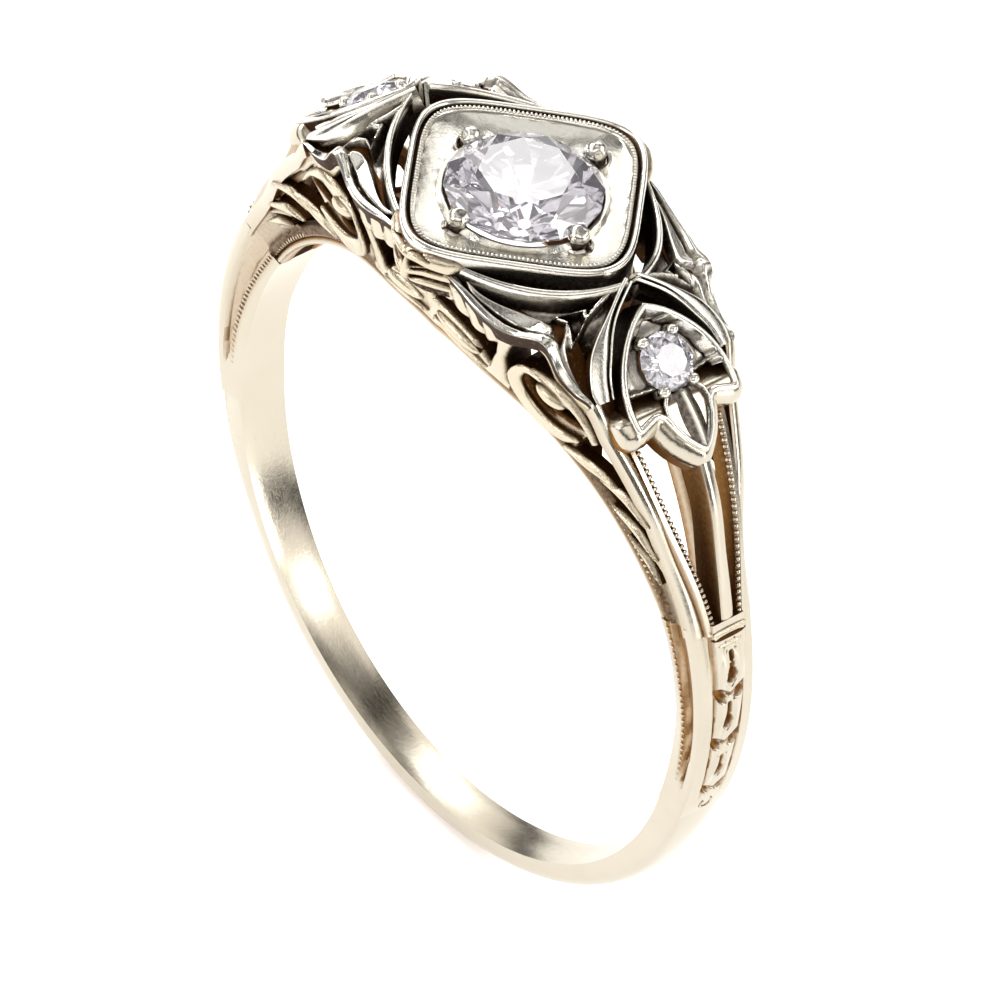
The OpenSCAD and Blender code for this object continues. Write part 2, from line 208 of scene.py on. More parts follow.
def ball(centre, radius, up=(0, 0, 1), along=(1, 0, 0), scale=(1, 1, 1), rows=6, columns=10):
    """Closed rounded bead, stretched by scale along (along, across, up)."""
    up = unit(np.array(up, float))
    along = np.array(along, float)
    along = unit(along - up * np.dot(along, up))
    across = np.cross(up, along)
    points = [np.array(centre) - up * radius * scale[2]]
    for i in range(1, rows):
        t = math.pi * i / rows
        for j in range(columns):
            s = 2 * math.pi * j / columns
            points.append(np.array(centre) + radius * (
                along * scale[0] * math.sin(t) * math.cos(s) + across * scale[1] * math.sin(t) * math.sin(s)
                - up * scale[2] * math.cos(t)))
    points.append(np.array(centre) + up * radius * scale[2])
    faces = [[0, 1 + (j + 1) % columns, 1 + j] for j in range(columns)]
    for i in range(rows - 2):
        a = 1 + i * columns
        for j in range(columns):
            k = (j + 1) % columns
            faces.append([a + j, a + k, a + columns + k, a + columns + j])
    last = len(points) - 1
    a = last - columns
    faces += [[last, a + j, a + (j + 1) % columns] for j in range(columns)]
    return np.array(points), faces


def bead_row(solid, path, up, radius, pitch, scale=(1, 1, 1), patina_and_shade=0.0, closed=False):
    """Row of small beads along a path, such as milgrain."""
    path = np.asarray(path, float)
    up = np.broadcast_to(np.asarray(up, float), path.shape)
    if closed:
        path = np.concatenate([path, path[:1]])
        up = np.concatenate([up, up[:1]])
    at = np.concatenate([[0], np.cumsum(np.linalg.norm(np.diff(path, axis=0), axis=1))])
    n = max(2, int(round(at[-1] / pitch)))
    places = np.arange(n) * at[-1] / n if closed else np.linspace(0, at[-1], n)
    run = np.gradient(path, axis=0)
    for s in places:
        centre = np.array([np.interp(s, at, path[:, j]) for j in range(3)])
        u = np.array([np.interp(s, at, up[:, j]) for j in range(3)])
        r = np.array([np.interp(s, at, run[:, j]) for j in range(3)])
        points, faces = ball(centre, radius, u, r, scale, rows=4, columns=8)
        solid.add(points, faces, patina_and_shade)


def relief(u_range, v_range, field, place, thick):
    """Pierced plate with a relief, on a grid of (first, last, number) in u and v. field(u, v) gives
    three arrays: how far each point lies outside the metal (negative inside it), the height of the
    relief and the share of patina and painted shade. place(u, v, height) puts points in space, and
    the plate's back lies at -thick, a number or a function of u."""
    us = np.linspace(*u_range)
    vs = np.linspace(*v_range)
    grid_u, grid_v = np.meshgrid(us, vs, indexing="ij")
    out = field(grid_u, grid_v)[0]
    out = np.where(np.abs(out) < 1e-6, 1e-6, out)
    ids = {}
    spots = []

    def spot(key, u, v):
        if key not in ids:
            ids[key] = len(spots)
            spots.append((u, v))
        return ids[key]

    def corner(i, j):
        return spot((i, j), us[i], vs[j])

    def crossing(i, j, k, q):
        key = (i, j, k, q) if (i, j) < (k, q) else (k, q, i, j)
        t = out[key[0], key[1]] / (out[key[0], key[1]] - out[key[2], key[3]])
        t = min(max(t, 0.06), 0.94)
        return spot(key, us[key[0]] + t * (us[key[2]] - us[key[0]]),
                    vs[key[1]] + t * (vs[key[3]] - vs[key[1]]))

    tops = []
    rims = []
    inside = out < 0
    some = inside[:-1, :-1] | inside[1:, :-1] | inside[:-1, 1:] | inside[1:, 1:]
    for i, j in zip(*np.nonzero(some)):
        cell = [(i, j), (i + 1, j), (i + 1, j + 1), (i, j + 1)]
        loop = []
        leave = None
        enter = None
        for a in range(4):
            p, q = cell[a], cell[(a + 1) % 4]
            if inside[p]:
                loop.append(corner(*p))
            if inside[p] != inside[q]:
                x = crossing(*p, *q)
                loop.append(x)
                if inside[p]:
                    leave = x
                elif leave is None:
                    enter = x
                else:
                    rims.append((leave, x))
                    leave = None
        if leave is not None and enter is not None:
            rims.append((leave, enter))
        tops.append(loop)
    spots = np.array(spots)
    _, height, patina_and_shade = field(spots[:, 0], spots[:, 1])
    count = len(spots)
    front = place(spots[:, 0], spots[:, 1], height)
    depth = thick(spots[:, 0]) if callable(thick) else np.full(count, thick)
    back = place(spots[:, 0], spots[:, 1], -depth)
    faces = [list(f) for f in tops] + [[i + count for i in f[::-1]] for f in tops]
    edge = sorted({i for rim in rims for i in rim})
    under = {i: 2 * count + k for k, i in enumerate(edge)}
    near = 0.9 * front[edge] + 0.1 * back[edge]
    for a, b in rims:
        faces.append([b, a, under[a], under[b]])
        faces.append([under[b], under[a], a + count, b + count])
    # The back and the cut walls are painted fully dark: painted shade in the piercings, with the patina there.
    patina_and_shade = np.concatenate([patina_and_shade, np.ones(count + len(edge))])
    return Solid().add(np.concatenate([front, back, near]), faces, patina_and_shade)


# ---- distances for the reliefs ------------------------------------------

def to_line(x, y, line):
    """Distance of points to a line of points, and how far along it they lie (0 to 1)."""
    best = np.full(np.shape(x), 1e9)
    along = np.zeros(np.shape(x))
    gaps = np.linalg.norm(np.diff(line, axis=0), axis=1)
    at = np.concatenate([[0], np.cumsum(gaps)]) / gaps.sum()
    for i in range(len(line) - 1):
        d = line[i + 1] - line[i]
        t = np.clip(((x - line[i][0]) * d[0] + (y - line[i][1]) * d[1]) / (d @ d + 1e-12), 0, 1)
        r = np.hypot(x - line[i][0] - t * d[0], y - line[i][1] - t * d[1])
        closer = r < best
        best = np.where(closer, r, best)
        along = np.where(closer, at[i] + t * (at[i + 1] - at[i]), along)
    return best, along


def band(x, y, points, widths, n=22):
    """Distance outside a band along a smooth line; widths are half widths spread evenly along it."""
    line = through(points, n)
    r, along = to_line(x, y, line)
    half = np.interp(along, np.linspace(0, 1, len(widths)), widths)
    return r - half, r, along


def oval(x, y, cx, cy, a, b, turn=0.0):
    """Rough distance outside an oval with half sizes a and b."""
    c, s = math.cos(math.radians(turn)), math.sin(math.radians(turn))
    u = ((x - cx) * c + (y - cy) * s) / a
    v = ((y - cy) * c - (x - cx) * s) / b
    return (np.hypot(u, v) - 1) * min(a, b)


def polygon(x, y, corners):
    """Signed distance to a closed outline, negative inside."""
    pts = np.array(corners, float)
    best = np.full(np.shape(x), 1e9)
    inside = np.zeros(np.shape(x), bool)
    for i in range(len(pts)):
        p, q = pts[i], pts[(i + 1) % len(pts)]
        d = q - p
        t = np.clip(((x - p[0]) * d[0] + (y - p[1]) * d[1]) / (d @ d + 1e-12), 0, 1)
        best = np.minimum(best, np.hypot(x - p[0] - t * d[0], y - p[1] - t * d[1]))
        if p[1] != q[1]:
            over = (y > min(p[1], q[1])) & (y <= max(p[1], q[1]))
            left = x < p[0] + (y - p[1]) * d[0] / (d[1] if d[1] != 0 else 1e-12)
            inside ^= over & left
    return np.where(inside, -best, best)


def rounding(depth, r):
    """Fall of a rounded edge of radius r at a distance inside the edge."""
    k = np.clip(1 - depth / r, 0, 1)
    return -r * (1 - np.sqrt(np.maximum(1 - k * k, 0)))


# ---- materials ---------------------------------------------------------

def feed(tree, socket, value):
    """Gives an input a value, or a link from another node's output."""
    if isinstance(value, bpy.types.NodeSocket):
        tree.links.new(value, socket)
    else:
        socket.default_value = value


def node(tree, kind, **values):
    """New shader node. A name in lower case is one of its settings, and any other is an input."""
    n = tree.nodes.new("ShaderNode" + kind)
    for name, value in values.items():
        if name[0].islower():
            setattr(n, name, value)
        else:
            feed(tree, n.inputs[name.replace("_", " ")], value)
    return n


def maths(tree, operation, *values, **settings):
    n = node(tree, "Math", operation=operation, **settings)
    for socket, value in zip(n.inputs, values):
        feed(tree, socket, value)
    return n.outputs[0]


def spread(tree, value, given, wanted):
    """Maps a value's given range (low, high) to the wanted one."""
    return node(tree, "MapRange", Value=value, From_Min=given[0], From_Max=given[1], To_Min=wanted[0],
                To_Max=wanted[1]).outputs["Result"]


def mix(tree, kind, share, a, b):
    return node(tree, "Mix", data_type=kind, Factor=share, A=a, B=b).outputs["Result"]


def noise(tree, vector, **values):
    return node(tree, "TexNoise", Vector=vector, **values).outputs["Fac"]


def new_material(name):
    """New material, its empty node tree and the place on the ring in millimetres."""
    mat = bpy.data.materials.new(name)
    mat.use_nodes = True
    tree = mat.node_tree
    tree.nodes.clear()
    place = node(tree, "TexCoord").outputs["Object"]
    return mat, tree, node(tree, "Mapping", Vector=place, Scale=(1 / MM, 1 / MM, 1 / MM)).outputs["Vector"]


def metal(name, clean, warm, patina_and_shade_colour, roughness, wear, reach):
    """Polished gold alloy: slight colour drift, fine scratches and pits, brown patina with painted shade in the
    recesses.
    """
    mat, tree, spot = new_material(name)
    cloud = noise(tree, spot, Scale=0.7, Detail=3.0)
    fine = noise(tree, spot, Scale=9.0, Detail=5.0, Roughness=0.65)
    pits = noise(tree, spot, Scale=26.0, Detail=2.0)
    stretched = node(tree, "Mapping", Vector=spot, Scale=(3.0, 40.0, 6.0), Rotation=(0.3, 0.5, 0.2))
    hairs = noise(tree, stretched.outputs["Vector"], Scale=1.0, Detail=4.0, Roughness=0.7)

    patina_and_shade = node(tree, "Attribute", attribute_name="patina_and_shade").outputs["Fac"]
    # Painted shade: ambient occlusion darkens the base colour towards the patina colour wherever the metal is
    # hemmed in.
    nook = node(tree, "AmbientOcclusion", samples=6, Distance=reach * MM).outputs["AO"]
    ao_painted_shade = spread(tree, nook, (0.82, 0.30), (0.0, 0.95))
    # Below zero, the point attribute clears this painted shade to keep a surface bright.
    shade_cleared = maths(tree, "MINIMUM", patina_and_shade, 0.0)
    both = maths(tree, "MAXIMUM", patina_and_shade, maths(tree, "ADD", ao_painted_shade, shade_cleared))
    patchy = spread(tree, fine, (0.3, 0.7), (0.85, 1.3))
    patina_shade_share = maths(tree, "MULTIPLY", both, patchy, use_clamp=True)

    tint = mix(tree, "RGBA", cloud, (*clean, 1), (*warm, 1))
    # The patina colour is mixed into the base colour by the share of patina and painted shade.
    patina_and_shade_tone = mix(tree, "RGBA", patina_shade_share, tint, (*patina_and_shade_colour, 1))
    worn = spread(tree, hairs, (0.3, 0.75), (roughness * 0.7, roughness * 1.5))
    rough = mix(tree, "FLOAT", patina_shade_share, worn, 0.55)

    bump = {}
    for height, strength, depth in ((hairs, wear, 0.012), (fine, wear * 0.8, 0.03), (pits, wear, 0.006)):
        layer = node(tree, "Bump", Strength=strength, Distance=depth * MM, Height=height, **bump)
        bump = {"Normal": layer.outputs["Normal"]}
    shader = node(tree, "BsdfPrincipled", Metallic=1.0, Base_Color=patina_and_shade_tone, Roughness=rough, **bump)
    node(tree, "OutputMaterial", Surface=shader.outputs["BSDF"])
    return mat


def gem(name, colour):
    """Clear diamond with a faint cloudiness in its polish."""
    mat, tree, spot = new_material(name)
    cloud = noise(tree, spot, Scale=1.6, Detail=2.0)
    tint = mix(tree, "RGBA", cloud, (*colour, 1), (0.97, 0.96, 1.0, 1))
    shader = node(tree, "BsdfPrincipled", Base_Color=tint, Roughness=0.0, IOR=2.42, Transmission_Weight=0.86)
    node(tree, "OutputMaterial", Surface=shader.outputs["BSDF"])
    return mat


# The shank's metal is set darker than the head's, though it is the same metal: painted shade that dims the
# shank, which reflects more of the bright floor. Its warm tint is its own.
SHANK = metal("shank_gold", (0.61, 0.57, 0.49), (0.56, 0.51, 0.42), (0.32, 0.165, 0.045), 0.19, 0.12, 0.4)
GALLERY = metal("gallery_gold", (0.66, 0.60, 0.49), (0.60, 0.52, 0.39), (0.095, 0.043, 0.013), 0.15, 0.5,
                0.6)
HEAD = metal("head_white_gold", (0.84, 0.83, 0.79), (0.78, 0.75, 0.67), (0.050, 0.025, 0.012), 0.08, 0.25,
             0.5)
DIAMOND = gem("diamond", (0.90, 0.88, 1.0))
LEFT_LIGHTER_SHARE = 0.45       # the left shoulder is painted lighter than the right one, with less patina and painted shade, for the brighter light on that side


def add_object(name, data):
    thing = bpy.data.objects.new(name, data)
    bpy.context.scene.collection.objects.link(thing)
    return thing


def piece(name, solid, material, cad_node, flip=(1, 1), sharp=38):
    """Makes a mesh of a solid, mirrored by flip, that rides on the ring and stands for a CAD node."""
    # Left-hand shank pieces keep less of their patina and painted shade, so that side is painted lighter for
    # its brighter light.
    share = LEFT_LIGHTER_SHARE if material is SHANK and flip[0] < 0 else 1.0
    points = np.concatenate(solid.points) * np.array([flip[0], flip[1], 1]) * MM
    faces = solid.faces if flip[0] * flip[1] > 0 else [f[::-1] for f in solid.faces]
    mesh = bpy.data.meshes.new(name)
    mesh.from_pydata(points.tolist(), [], faces)
    patina_and_shade = mesh.attributes.new("patina_and_shade", "FLOAT", "POINT")
    patina_and_shade.data.foreach_set("value", (share * np.concatenate(solid.patina_and_shade)).astype(np.float32))
    mesh.materials.append(material)
    mesh.shade_smooth()
    mesh.set_sharp_from_angle(angle=math.radians(sharp))
    thing = add_object(name, mesh)
    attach(thing, "root")
    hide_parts(cad_node)


def pieces(name, solid, material, places, sharp=38):
    for place, flip in places.items():
        piece(f"{name}_{place}_looks", solid, material, f"{name}_{place}", flip, sharp)


# ---- shank -------------------------------------------------------------

def shank_section(half, thick, edge, a):
    """Ring of points across the shank: a nearly flat inside and a domed outside."""
    inside = np.linspace(-half, half, 9)
    inside_rho = BORE + 0.03 * (inside / half) ** 4
    t = np.linspace(0.06, math.pi - 0.06, 17)
    out_y = half * np.cos(t) / math.cos(0.06)
    out_rho = BORE + edge + (thick - edge) * np.sin(t) ** 0.75
    y = np.concatenate([inside, out_y])
    rho = np.concatenate([inside_rho, out_rho])
    return ring(a, rho, y)


def shank_lower():
    rings = []
    for a in np.linspace(100, 260, 121):
        down = max(0.0, -math.cos(math.radians(a)))
        away = min(abs(a - 100), abs(260 - a))
        half = 0.73 - 0.20 * down * (BORE + 0.4) / 10
        square = 1 - soft_step(away, 0, 30)
        thick = 0.80 * square + 0.78 * (1 - square)
        edge = 0.66 * square + 0.16 * (1 - square)
        rings.append(shank_section(half, thick, edge, a))
    piece("shank_looks", Solid().add(*loft(rings)), SHANK, "shank_lower")


FLOWERS = [(69.9, 1.0), (78.6, 0.9), (88.9, 0.78)]
PITS = [(73.9, 1.0), (83.3, 0.95), (93.7, 0.8)]
PANEL = ([62, 70, 80, 90, 100], [0.52, 0.46, 0.42, 0.37, 0.30])     # half width of the crown's panel
ROW_END = 98.2          # the small ring that ends the row of flowers
PER_DEG = 0.17          # millimetres along the ring for one degree, at the middle of the side walls
DEG_TOP = 0.172         # the same at the crown of the shoulder


def panel_relief(a, y):
    """Height of the chased bell flowers over the shoulder's crown, and the patina and painted shade in their
    recesses.
    """
    x = a * DEG_TOP
    height = np.zeros(np.shape(a))
    patina_and_shade = np.zeros(np.shape(a))

    def carve(share, depth, patina_and_shade_tone):
        np.subtract(height, depth * share, out=height)
        np.maximum(patina_and_shade, patina_and_shade_tone * share, out=patina_and_shade)

    groove = np.abs(np.abs(y) - np.interp(a, *PANEL))
    carve((1 - soft_step(groove, 0.01, 0.045)) * (1 - soft_step(a, 92, 97)), 0.07, 0.65)
    for at, size in FLOWERS:
        ahead = x - at * DEG_TOP
        stem = np.hypot(np.maximum(np.abs(ahead + 0.22 * size) - 0.26 * size, 0), y) - 0.05 * size
        bulb = oval(ahead, y, 0.17 * size, 0, 0.22 * size, 0.135 * size)
        drop = 1 - soft_step(np.minimum(stem, bulb), -0.05, 0.03)
        carve(drop, 0.19, 0.45 + 0.55 * soft_step(ahead, -0.25, 0.15))
        for sign in (-1, 1):
            petal = oval(x, y, at * DEG_TOP, sign * 0.23 * size, 0.62, 0.2 * size, sign * 7)
            height += 0.07 * (1 - soft_step(petal, -0.19, 0.02))
    for at, size in PITS:
        for sign in (-1, 1):
            ahead = x - at * DEG_TOP
            pit = oval(ahead, y, 0.04, sign * 0.29 * size, 0.27 * size, 0.125 * size, sign * -28)
            carve(1 - soft_step(pit, -0.06, 0.03), 0.17, 1.0)
            line = oval(ahead, y, 0.02, sign * 0.09, 0.16, 0.03, sign * -50)
            carve(1 - soft_step(line, -0.02, 0.025), 0.06, 0.6)
    dot = np.abs(np.hypot(x - ROW_END * DEG_TOP, y) - 0.15)
    carve((1 - soft_step(dot, 0.015, 0.05)) * (x > (ROW_END - 0.1) * DEG_TOP), 0.05, 0.5)
    return height, patina_and_shade


def channel_depth(a, k):
    """Depth of the tapered channel down the shoulder's side; k runs from the inside to the edge."""
    low = np.interp(a, [52, 62, 78, 92, 96], [0.27, 0.27, 0.36, 0.52, 0.70])
    high = np.interp(a, [52, 62, 86, 96], [0.80, 0.79, 0.76, 0.72])
    inside = np.minimum(k - low, high - k)
    return soft_step(inside, 0.0, 0.10) * (1 - soft_step(a, 91, 95))


def rope_share(a):
    """Where the rope edge runs on the shoulder's side, as a share of the side's height."""
    return 0.205 + 0.22 * soft_step(a, 62, 93)


def shoulder():
    angles = np.linspace(61.9, 100, 230)[:, None]
    half = smooth(angles, EDGE_HALF)
    edge = smooth(angles, EDGE_RISE)
    crown = np.maximum(smooth(angles, CROWN), edge)
    foot = np.minimum(smooth(np.minimum(angles, 80), RAIL_HALF), half)
    foot = np.minimum(foot * np.interp(angles, [80, 100], [1, 1.2]), half)
    across = np.linspace(-1, 1, 61)[None, :]
    y = across * (half - 0.05)
    panel = np.interp(angles, *PANEL)
    flat_band = 1 - soft_step(np.abs(y), panel - 0.06, panel + 0.08)
    early = 1 - soft_step(angles, 68, 88)
    swell = early * flat_band + (1 - early) * (1 - np.abs(across) ** 1.8)
    extra, patina_and_shade = panel_relief(np.broadcast_to(angles, y.shape), y)
    rings = [ring(angles, BORE + (edge + (crown + 0.02 - edge) * swell) + extra, y)]
    patina_shade_share = [patina_and_shade]
    down = np.linspace(0.97, 0.0, 17)[None, :]
    for sign, k in ((1, down), (-1, down[:, ::-1])):
        depth = channel_depth(angles, k)
        wide = foot + (half - foot) * np.clip(k * 1.4, 0, 1)
        side_y = sign * (wide - 0.17 * depth - 0.03 * (k > 0.96))
        rho = BORE + np.maximum(edge * k - 0.02 * (k > 0.96), 0.0)
        # Patina and painted shade down the channel, and a dark line of it beside the rope edge.
        beside = np.exp(-(((k - rope_share(angles) - 0.02) / 0.09) ** 2)) * (1 - soft_step(angles, 88, 94))
        rings.append(ring(angles, rho, side_y))
        patina_shade_share.append(np.maximum(depth * np.interp(k, [0.3, 0.75], [0.9, 0.45]), beside))
        if sign > 0:
            under = np.linspace(0.9, -0.9, 7)[None, :]
            rings.append(ring(angles, BORE, foot * under))
            patina_shade_share.append(np.zeros((len(angles), 7)))
    points, faces = loft(np.concatenate(rings, axis=1))
    solid = Solid().add(points, faces, np.append(np.concatenate(patina_shade_share, axis=1), [0, 0]))
    a = np.linspace(62, 93, 60)
    k = rope_share(a)
    foot = smooth(np.minimum(a, 80), RAIL_HALF)
    wide = foot + (smooth(a, EDGE_HALF) - foot) * np.clip(k * 1.4, 0, 1)
    for sign in (-1, 1):
        path = ring(a, BORE + smooth(a, EDGE_RISE) * k, sign * (wide - 0.01))
        bead_row(solid, path, (0, sign, 0), 0.06, 0.165, (0.7, 1.25, 1.0), 0.1)
    pieces("shoulder", solid, SHANK, SIDES)


def crossbars():
    """Two bars across the top of the shoulder, each with a fully dark strip behind it that is a painted shadow.
    """
    solid = Solid()
    for a, half, lift in ((63.3, 0.50, 0.03), (65.5, 0.36, 0.0)):
        y = np.linspace(-half, half, 15)
        swell = np.sqrt(np.maximum(1 - (y / half) ** 6, 0.05))
        path = ring(a, BORE + smooth(a, CROWN) + 0.05 + lift - 0.1 * y**2, y)
        up = ring(a, 1.0, 0.0)
        solid.add(*sweep(path, up, dome_section(9, 0.5), 0.17 * swell, 0.2 * swell))
        # A fully dark strip just behind and below each bar stands in for the bar's cast shadow.
        shadow_strip = path - ring(a - 90, 0.17, 0) - 0.07 * up
        solid.add(*sweep(shadow_strip, up, dome_section(7, 0.3), 0.15 * swell, 0.1), 1.0)
    pieces("crossbars", solid, GALLERY, SIDES)


def bellflowers():
    """Raised petals beside each dark drop, and the small ring that ends the row."""
    solid = Solid()
    k = np.linspace(0, 1, 15)
    swell = np.sin(np.pi * (0.04 + 0.92 * k)) ** 0.8
    for at, size in FLOWERS + [(ROW_END, 0.3), (66.9, 0.55)]:
        for sign in (-1, 1):
            a = at - 3.3 * size + 6.6 * size * k
            y = sign * (0.13 + 0.16 * size * np.sin(np.pi * k) ** 0.8 - 0.09 * soft_step(k, 0.75, 1))
            path = ring(a, BORE + smooth(a, CROWN) + 0.045, y)
            up = unit(ring(a, 1.0, 0.35 * sign))
            width = 0.19 * size * swell + 0.02
            solid.add(*sweep(path, up, dome_section(9, 0.42), width, 0.15 * swell + 0.02))
    pieces("bellflowers", solid, SHANK, SIDES)


# ---- split shoulders ---------------------------------------------------

def bar(angles, rise, y, sections, patina_and_shade):
    """Bar along the ring. Its sections are points (side, up), measured from rise and -y."""
    rings = [[ring(a, BORE + r + up, side - half) for side, up in section]
             for a, r, half, section in zip(angles, rise, y, sections)]
    # Each point of the section carries its share of patina and painted shade, and the end caps get half.
    return Solid().add(*loft(rings), np.append(np.tile(patina_and_shade, len(rings)), [0.5, 0.5]))


def outer_rail():
    a = np.linspace(28.5, 63.5, 40)
    deep = 0.40
    sections = [[(0.02, -deep), (0.0, -0.10), (0.015, -0.03), (0.06, 0.0), (w * 0.5, 0.03), (w - 0.06, 0.015),
                 (w - 0.01, -0.02), (w, -0.09), (w - 0.01, -deep)]
                for w in 0.30 + 0.12 * soft_step(a, 44, 63)]
    # Darker down the rail's outer side and fully dark at its foot: painted shade with patina.
    patina_and_shade = [0.3, 0, 0, 0, 0, 0, 0.1, 0.75, 1.0]
    pieces("outer_rail", bar(a, smooth(a, EDGE_RISE), smooth(a, EDGE_HALF), sections, patina_and_shade), SHANK, QUARTERS)


def milgrain_rail():
    a = np.linspace(33.2, 63.5, 36)
    y = smooth(a, INNER_HALF)
    rise = smooth(a, INNER_RISE)
    w = 0.135
    section = [(-w, -0.62), (-w, -0.07), (-w + 0.03, -0.02), (0.0, 0.0), (w - 0.1, -0.03), (w - 0.02, -0.07),
               (w, -0.12), (w - 0.03, -0.62)]
    # Darker down the rail's sides and at its foot: painted shade with patina.
    solid = bar(a, rise, y, [section] * len(a), [0.9, 0.5, 0, 0, 0.15, 0.9, 0.9, 1.0])
    path = ring(a, BORE + rise - 0.03, -y + 0.075)
    bead_row(solid, path, unit(ring(a, 1.0, 0.3)), 0.072, 0.155, (0.85, 1, 1))
    pieces("milgrain_rail", solid, SHANK, QUARTERS)


def centre_bar():
    a = np.linspace(38.8, 63.4, 32)
    sections = [[(-0.13, -0.92), (-w, -0.10), (-w + 0.02, -0.03), (-w + 0.07, 0.0), (0, 0.012), (w - 0.07, 0.0),
                 (w - 0.02, -0.03), (w, -0.10), (0.13, -0.92)] for w in 0.17 + 0.03 * soft_step(a, 50, 62)]
    # Darker down both sides of the bar to fully dark at its foot: painted shade with patina.
    patina_and_shade = [1.0, 0.75, 0.1, 0, 0, 0, 0.1, 0.75, 1.0]
    pieces("centre_bar", bar(a, smooth(a, CROWN), np.zeros(len(a)), sections, patina_and_shade), SHANK, SIDES)


# ---- galleries ---------------------------------------------------------

def finger_rail():
    a = np.linspace(-62.6, 62.6, 150)
    section = [(0.05, 0.0), (0.0, 0.05), (0.0, 0.13), (0.05, 0.19), (0.11, 0.22), (0.13, 0.42), (0.38, 0.46),
               (0.44, 0.30), (0.44, 0.04), (0.38, 0.0)]
    # Darker in the rail's inner corners and along its foot: painted shade with patina.
    patina_and_shade = [0.3, 0, 0.4, 0.9, 0.9, 0.8, 0.6, 0.3, 0.9, 0.9]
    solid = bar(a, np.zeros(len(a)), smooth(np.abs(a), RAIL_HALF), [section] * len(a), patina_and_shade)
    for start, stop in ((14.5, 62.0), (-62.0, -14.5)):
        a = np.linspace(start, stop, 80)
        path = ring(a, BORE + 0.29, -smooth(np.abs(a), RAIL_HALF) + 0.04)
        bead_row(solid, path, (0, -1, 0), 0.066, 0.165, (0.72, 1.25, 1.0), 0.15)
    a = np.linspace(-14, 14, 60)
    path = ring(a, BORE + 0.28, -smooth(np.abs(a), RAIL_HALF) + 0.05)
    solid.add(*sweep(path, (0, -1, 0), dome_section(7, 0.5), 0.12, 0.12))
    pieces("finger_rail", solid, SHANK, ENDS)


def wall_place(u, v, lift):
    """Point on the side wall at u along the ring, v above the finger, standing lift proud of it."""
    a = u / PER_DEG
    t = np.abs(a)
    rise = smooth(t, EDGE_RISE)
    y0 = smooth(t, RAIL_HALF)
    y1 = smooth(t, EDGE_HALF)
    lean = (y1 - y0) / rise
    length = np.sqrt(1 + lean**2)
    bulge = 1 + 0.4 * soft_step(t, 50, 61)      # the wall takes on the shoulder's shape at its end
    y = y0 + lean * np.minimum(v * bulge, np.maximum(rise, v))
    return ring(a, BORE + v - lift * lean / length, -y - lift / length)


def on_wall(points):
    return [(a * PER_DEG, h) for a, h in points]


C_SCROLL = on_wall([(21.2, 2.06), (18.6, 1.86), (17.7, 1.28), (18.9, 0.86), (21.6, 0.62), (25.0, 0.60),
                    (28.2, 0.85), (30.2, 1.3)])
TOP_LEAF = on_wall([(19.5, 2.10), (23.8, 2.40), (28.9, 2.30), (32.0, 2.05)])
SCROLL_PLATE = on_wall([(17.0, 0.4), (17.0, 1.6), (18.6, 2.0), (24.0, 2.5), (28.5, 2.5), (31.3, 2.1),
                        (30.6, 1.5), (30.4, 0.9), (31.5, 0.4)])
SLOTS_CUT = [(on_wall([(19.7, 1.85), (19.9, 1.42), (20.9, 1.20), (22.8, 1.06), (24.6, 1.14)]),
              (0.04, 0.13, 0.16, 0.15, 0.05)),
             (on_wall([(25.4, 1.40), (26.4, 1.58), (27.6, 1.78), (29.6, 1.98)]), (0.06, 0.17, 0.17, 0.05))]
LEAVES = [(TOP_LEAF, (0.03, 0.15, 0.06)),
          (on_wall([(29.3, 0.5), (33.8, 0.82), (38.4, 1.5)]), (0.05, 0.21, 0.03)),
          (on_wall([(35.8, 1.0), (40.5, 1.5), (45.2, 1.78)]), (0.03, 0.17, 0.03)),
          (on_wall([(40.8, 0.72), (45.5, 1.05), (50.4, 1.3)]), (0.03, 0.16, 0.03)),
          (on_wall([(46.0, 0.6), (50.0, 0.8), (54.5, 0.95)]), (0.02, 0.12, 0.02))]
POST = on_wall([(15.2, 2.6), (14.5, 1.5), (14.3, 0.3)])
SEEDS = [(23.2 * PER_DEG, 1.62, 0.46, 0.22, 10), (6.3 * PER_DEG, 0.86, 0.80, 0.17, -5)]
BORDER_DEPTH = ([0, 13, 15, 22, 27, 30, 34, 45, 60], [0.98, 0.96, 0.62, 0.6, 0.66, 0.7, 0.5, 0.4, 0.4])
FOOT_TOP = ([0, 1.5, 2.2, 9.5, 12.4, 13.5, 17, 46, 50, 62],
            [1.3, 1.24, 1.2, 1.02, 0.62, 0.58, 0.50, 0.52, 0.9, 0.9])


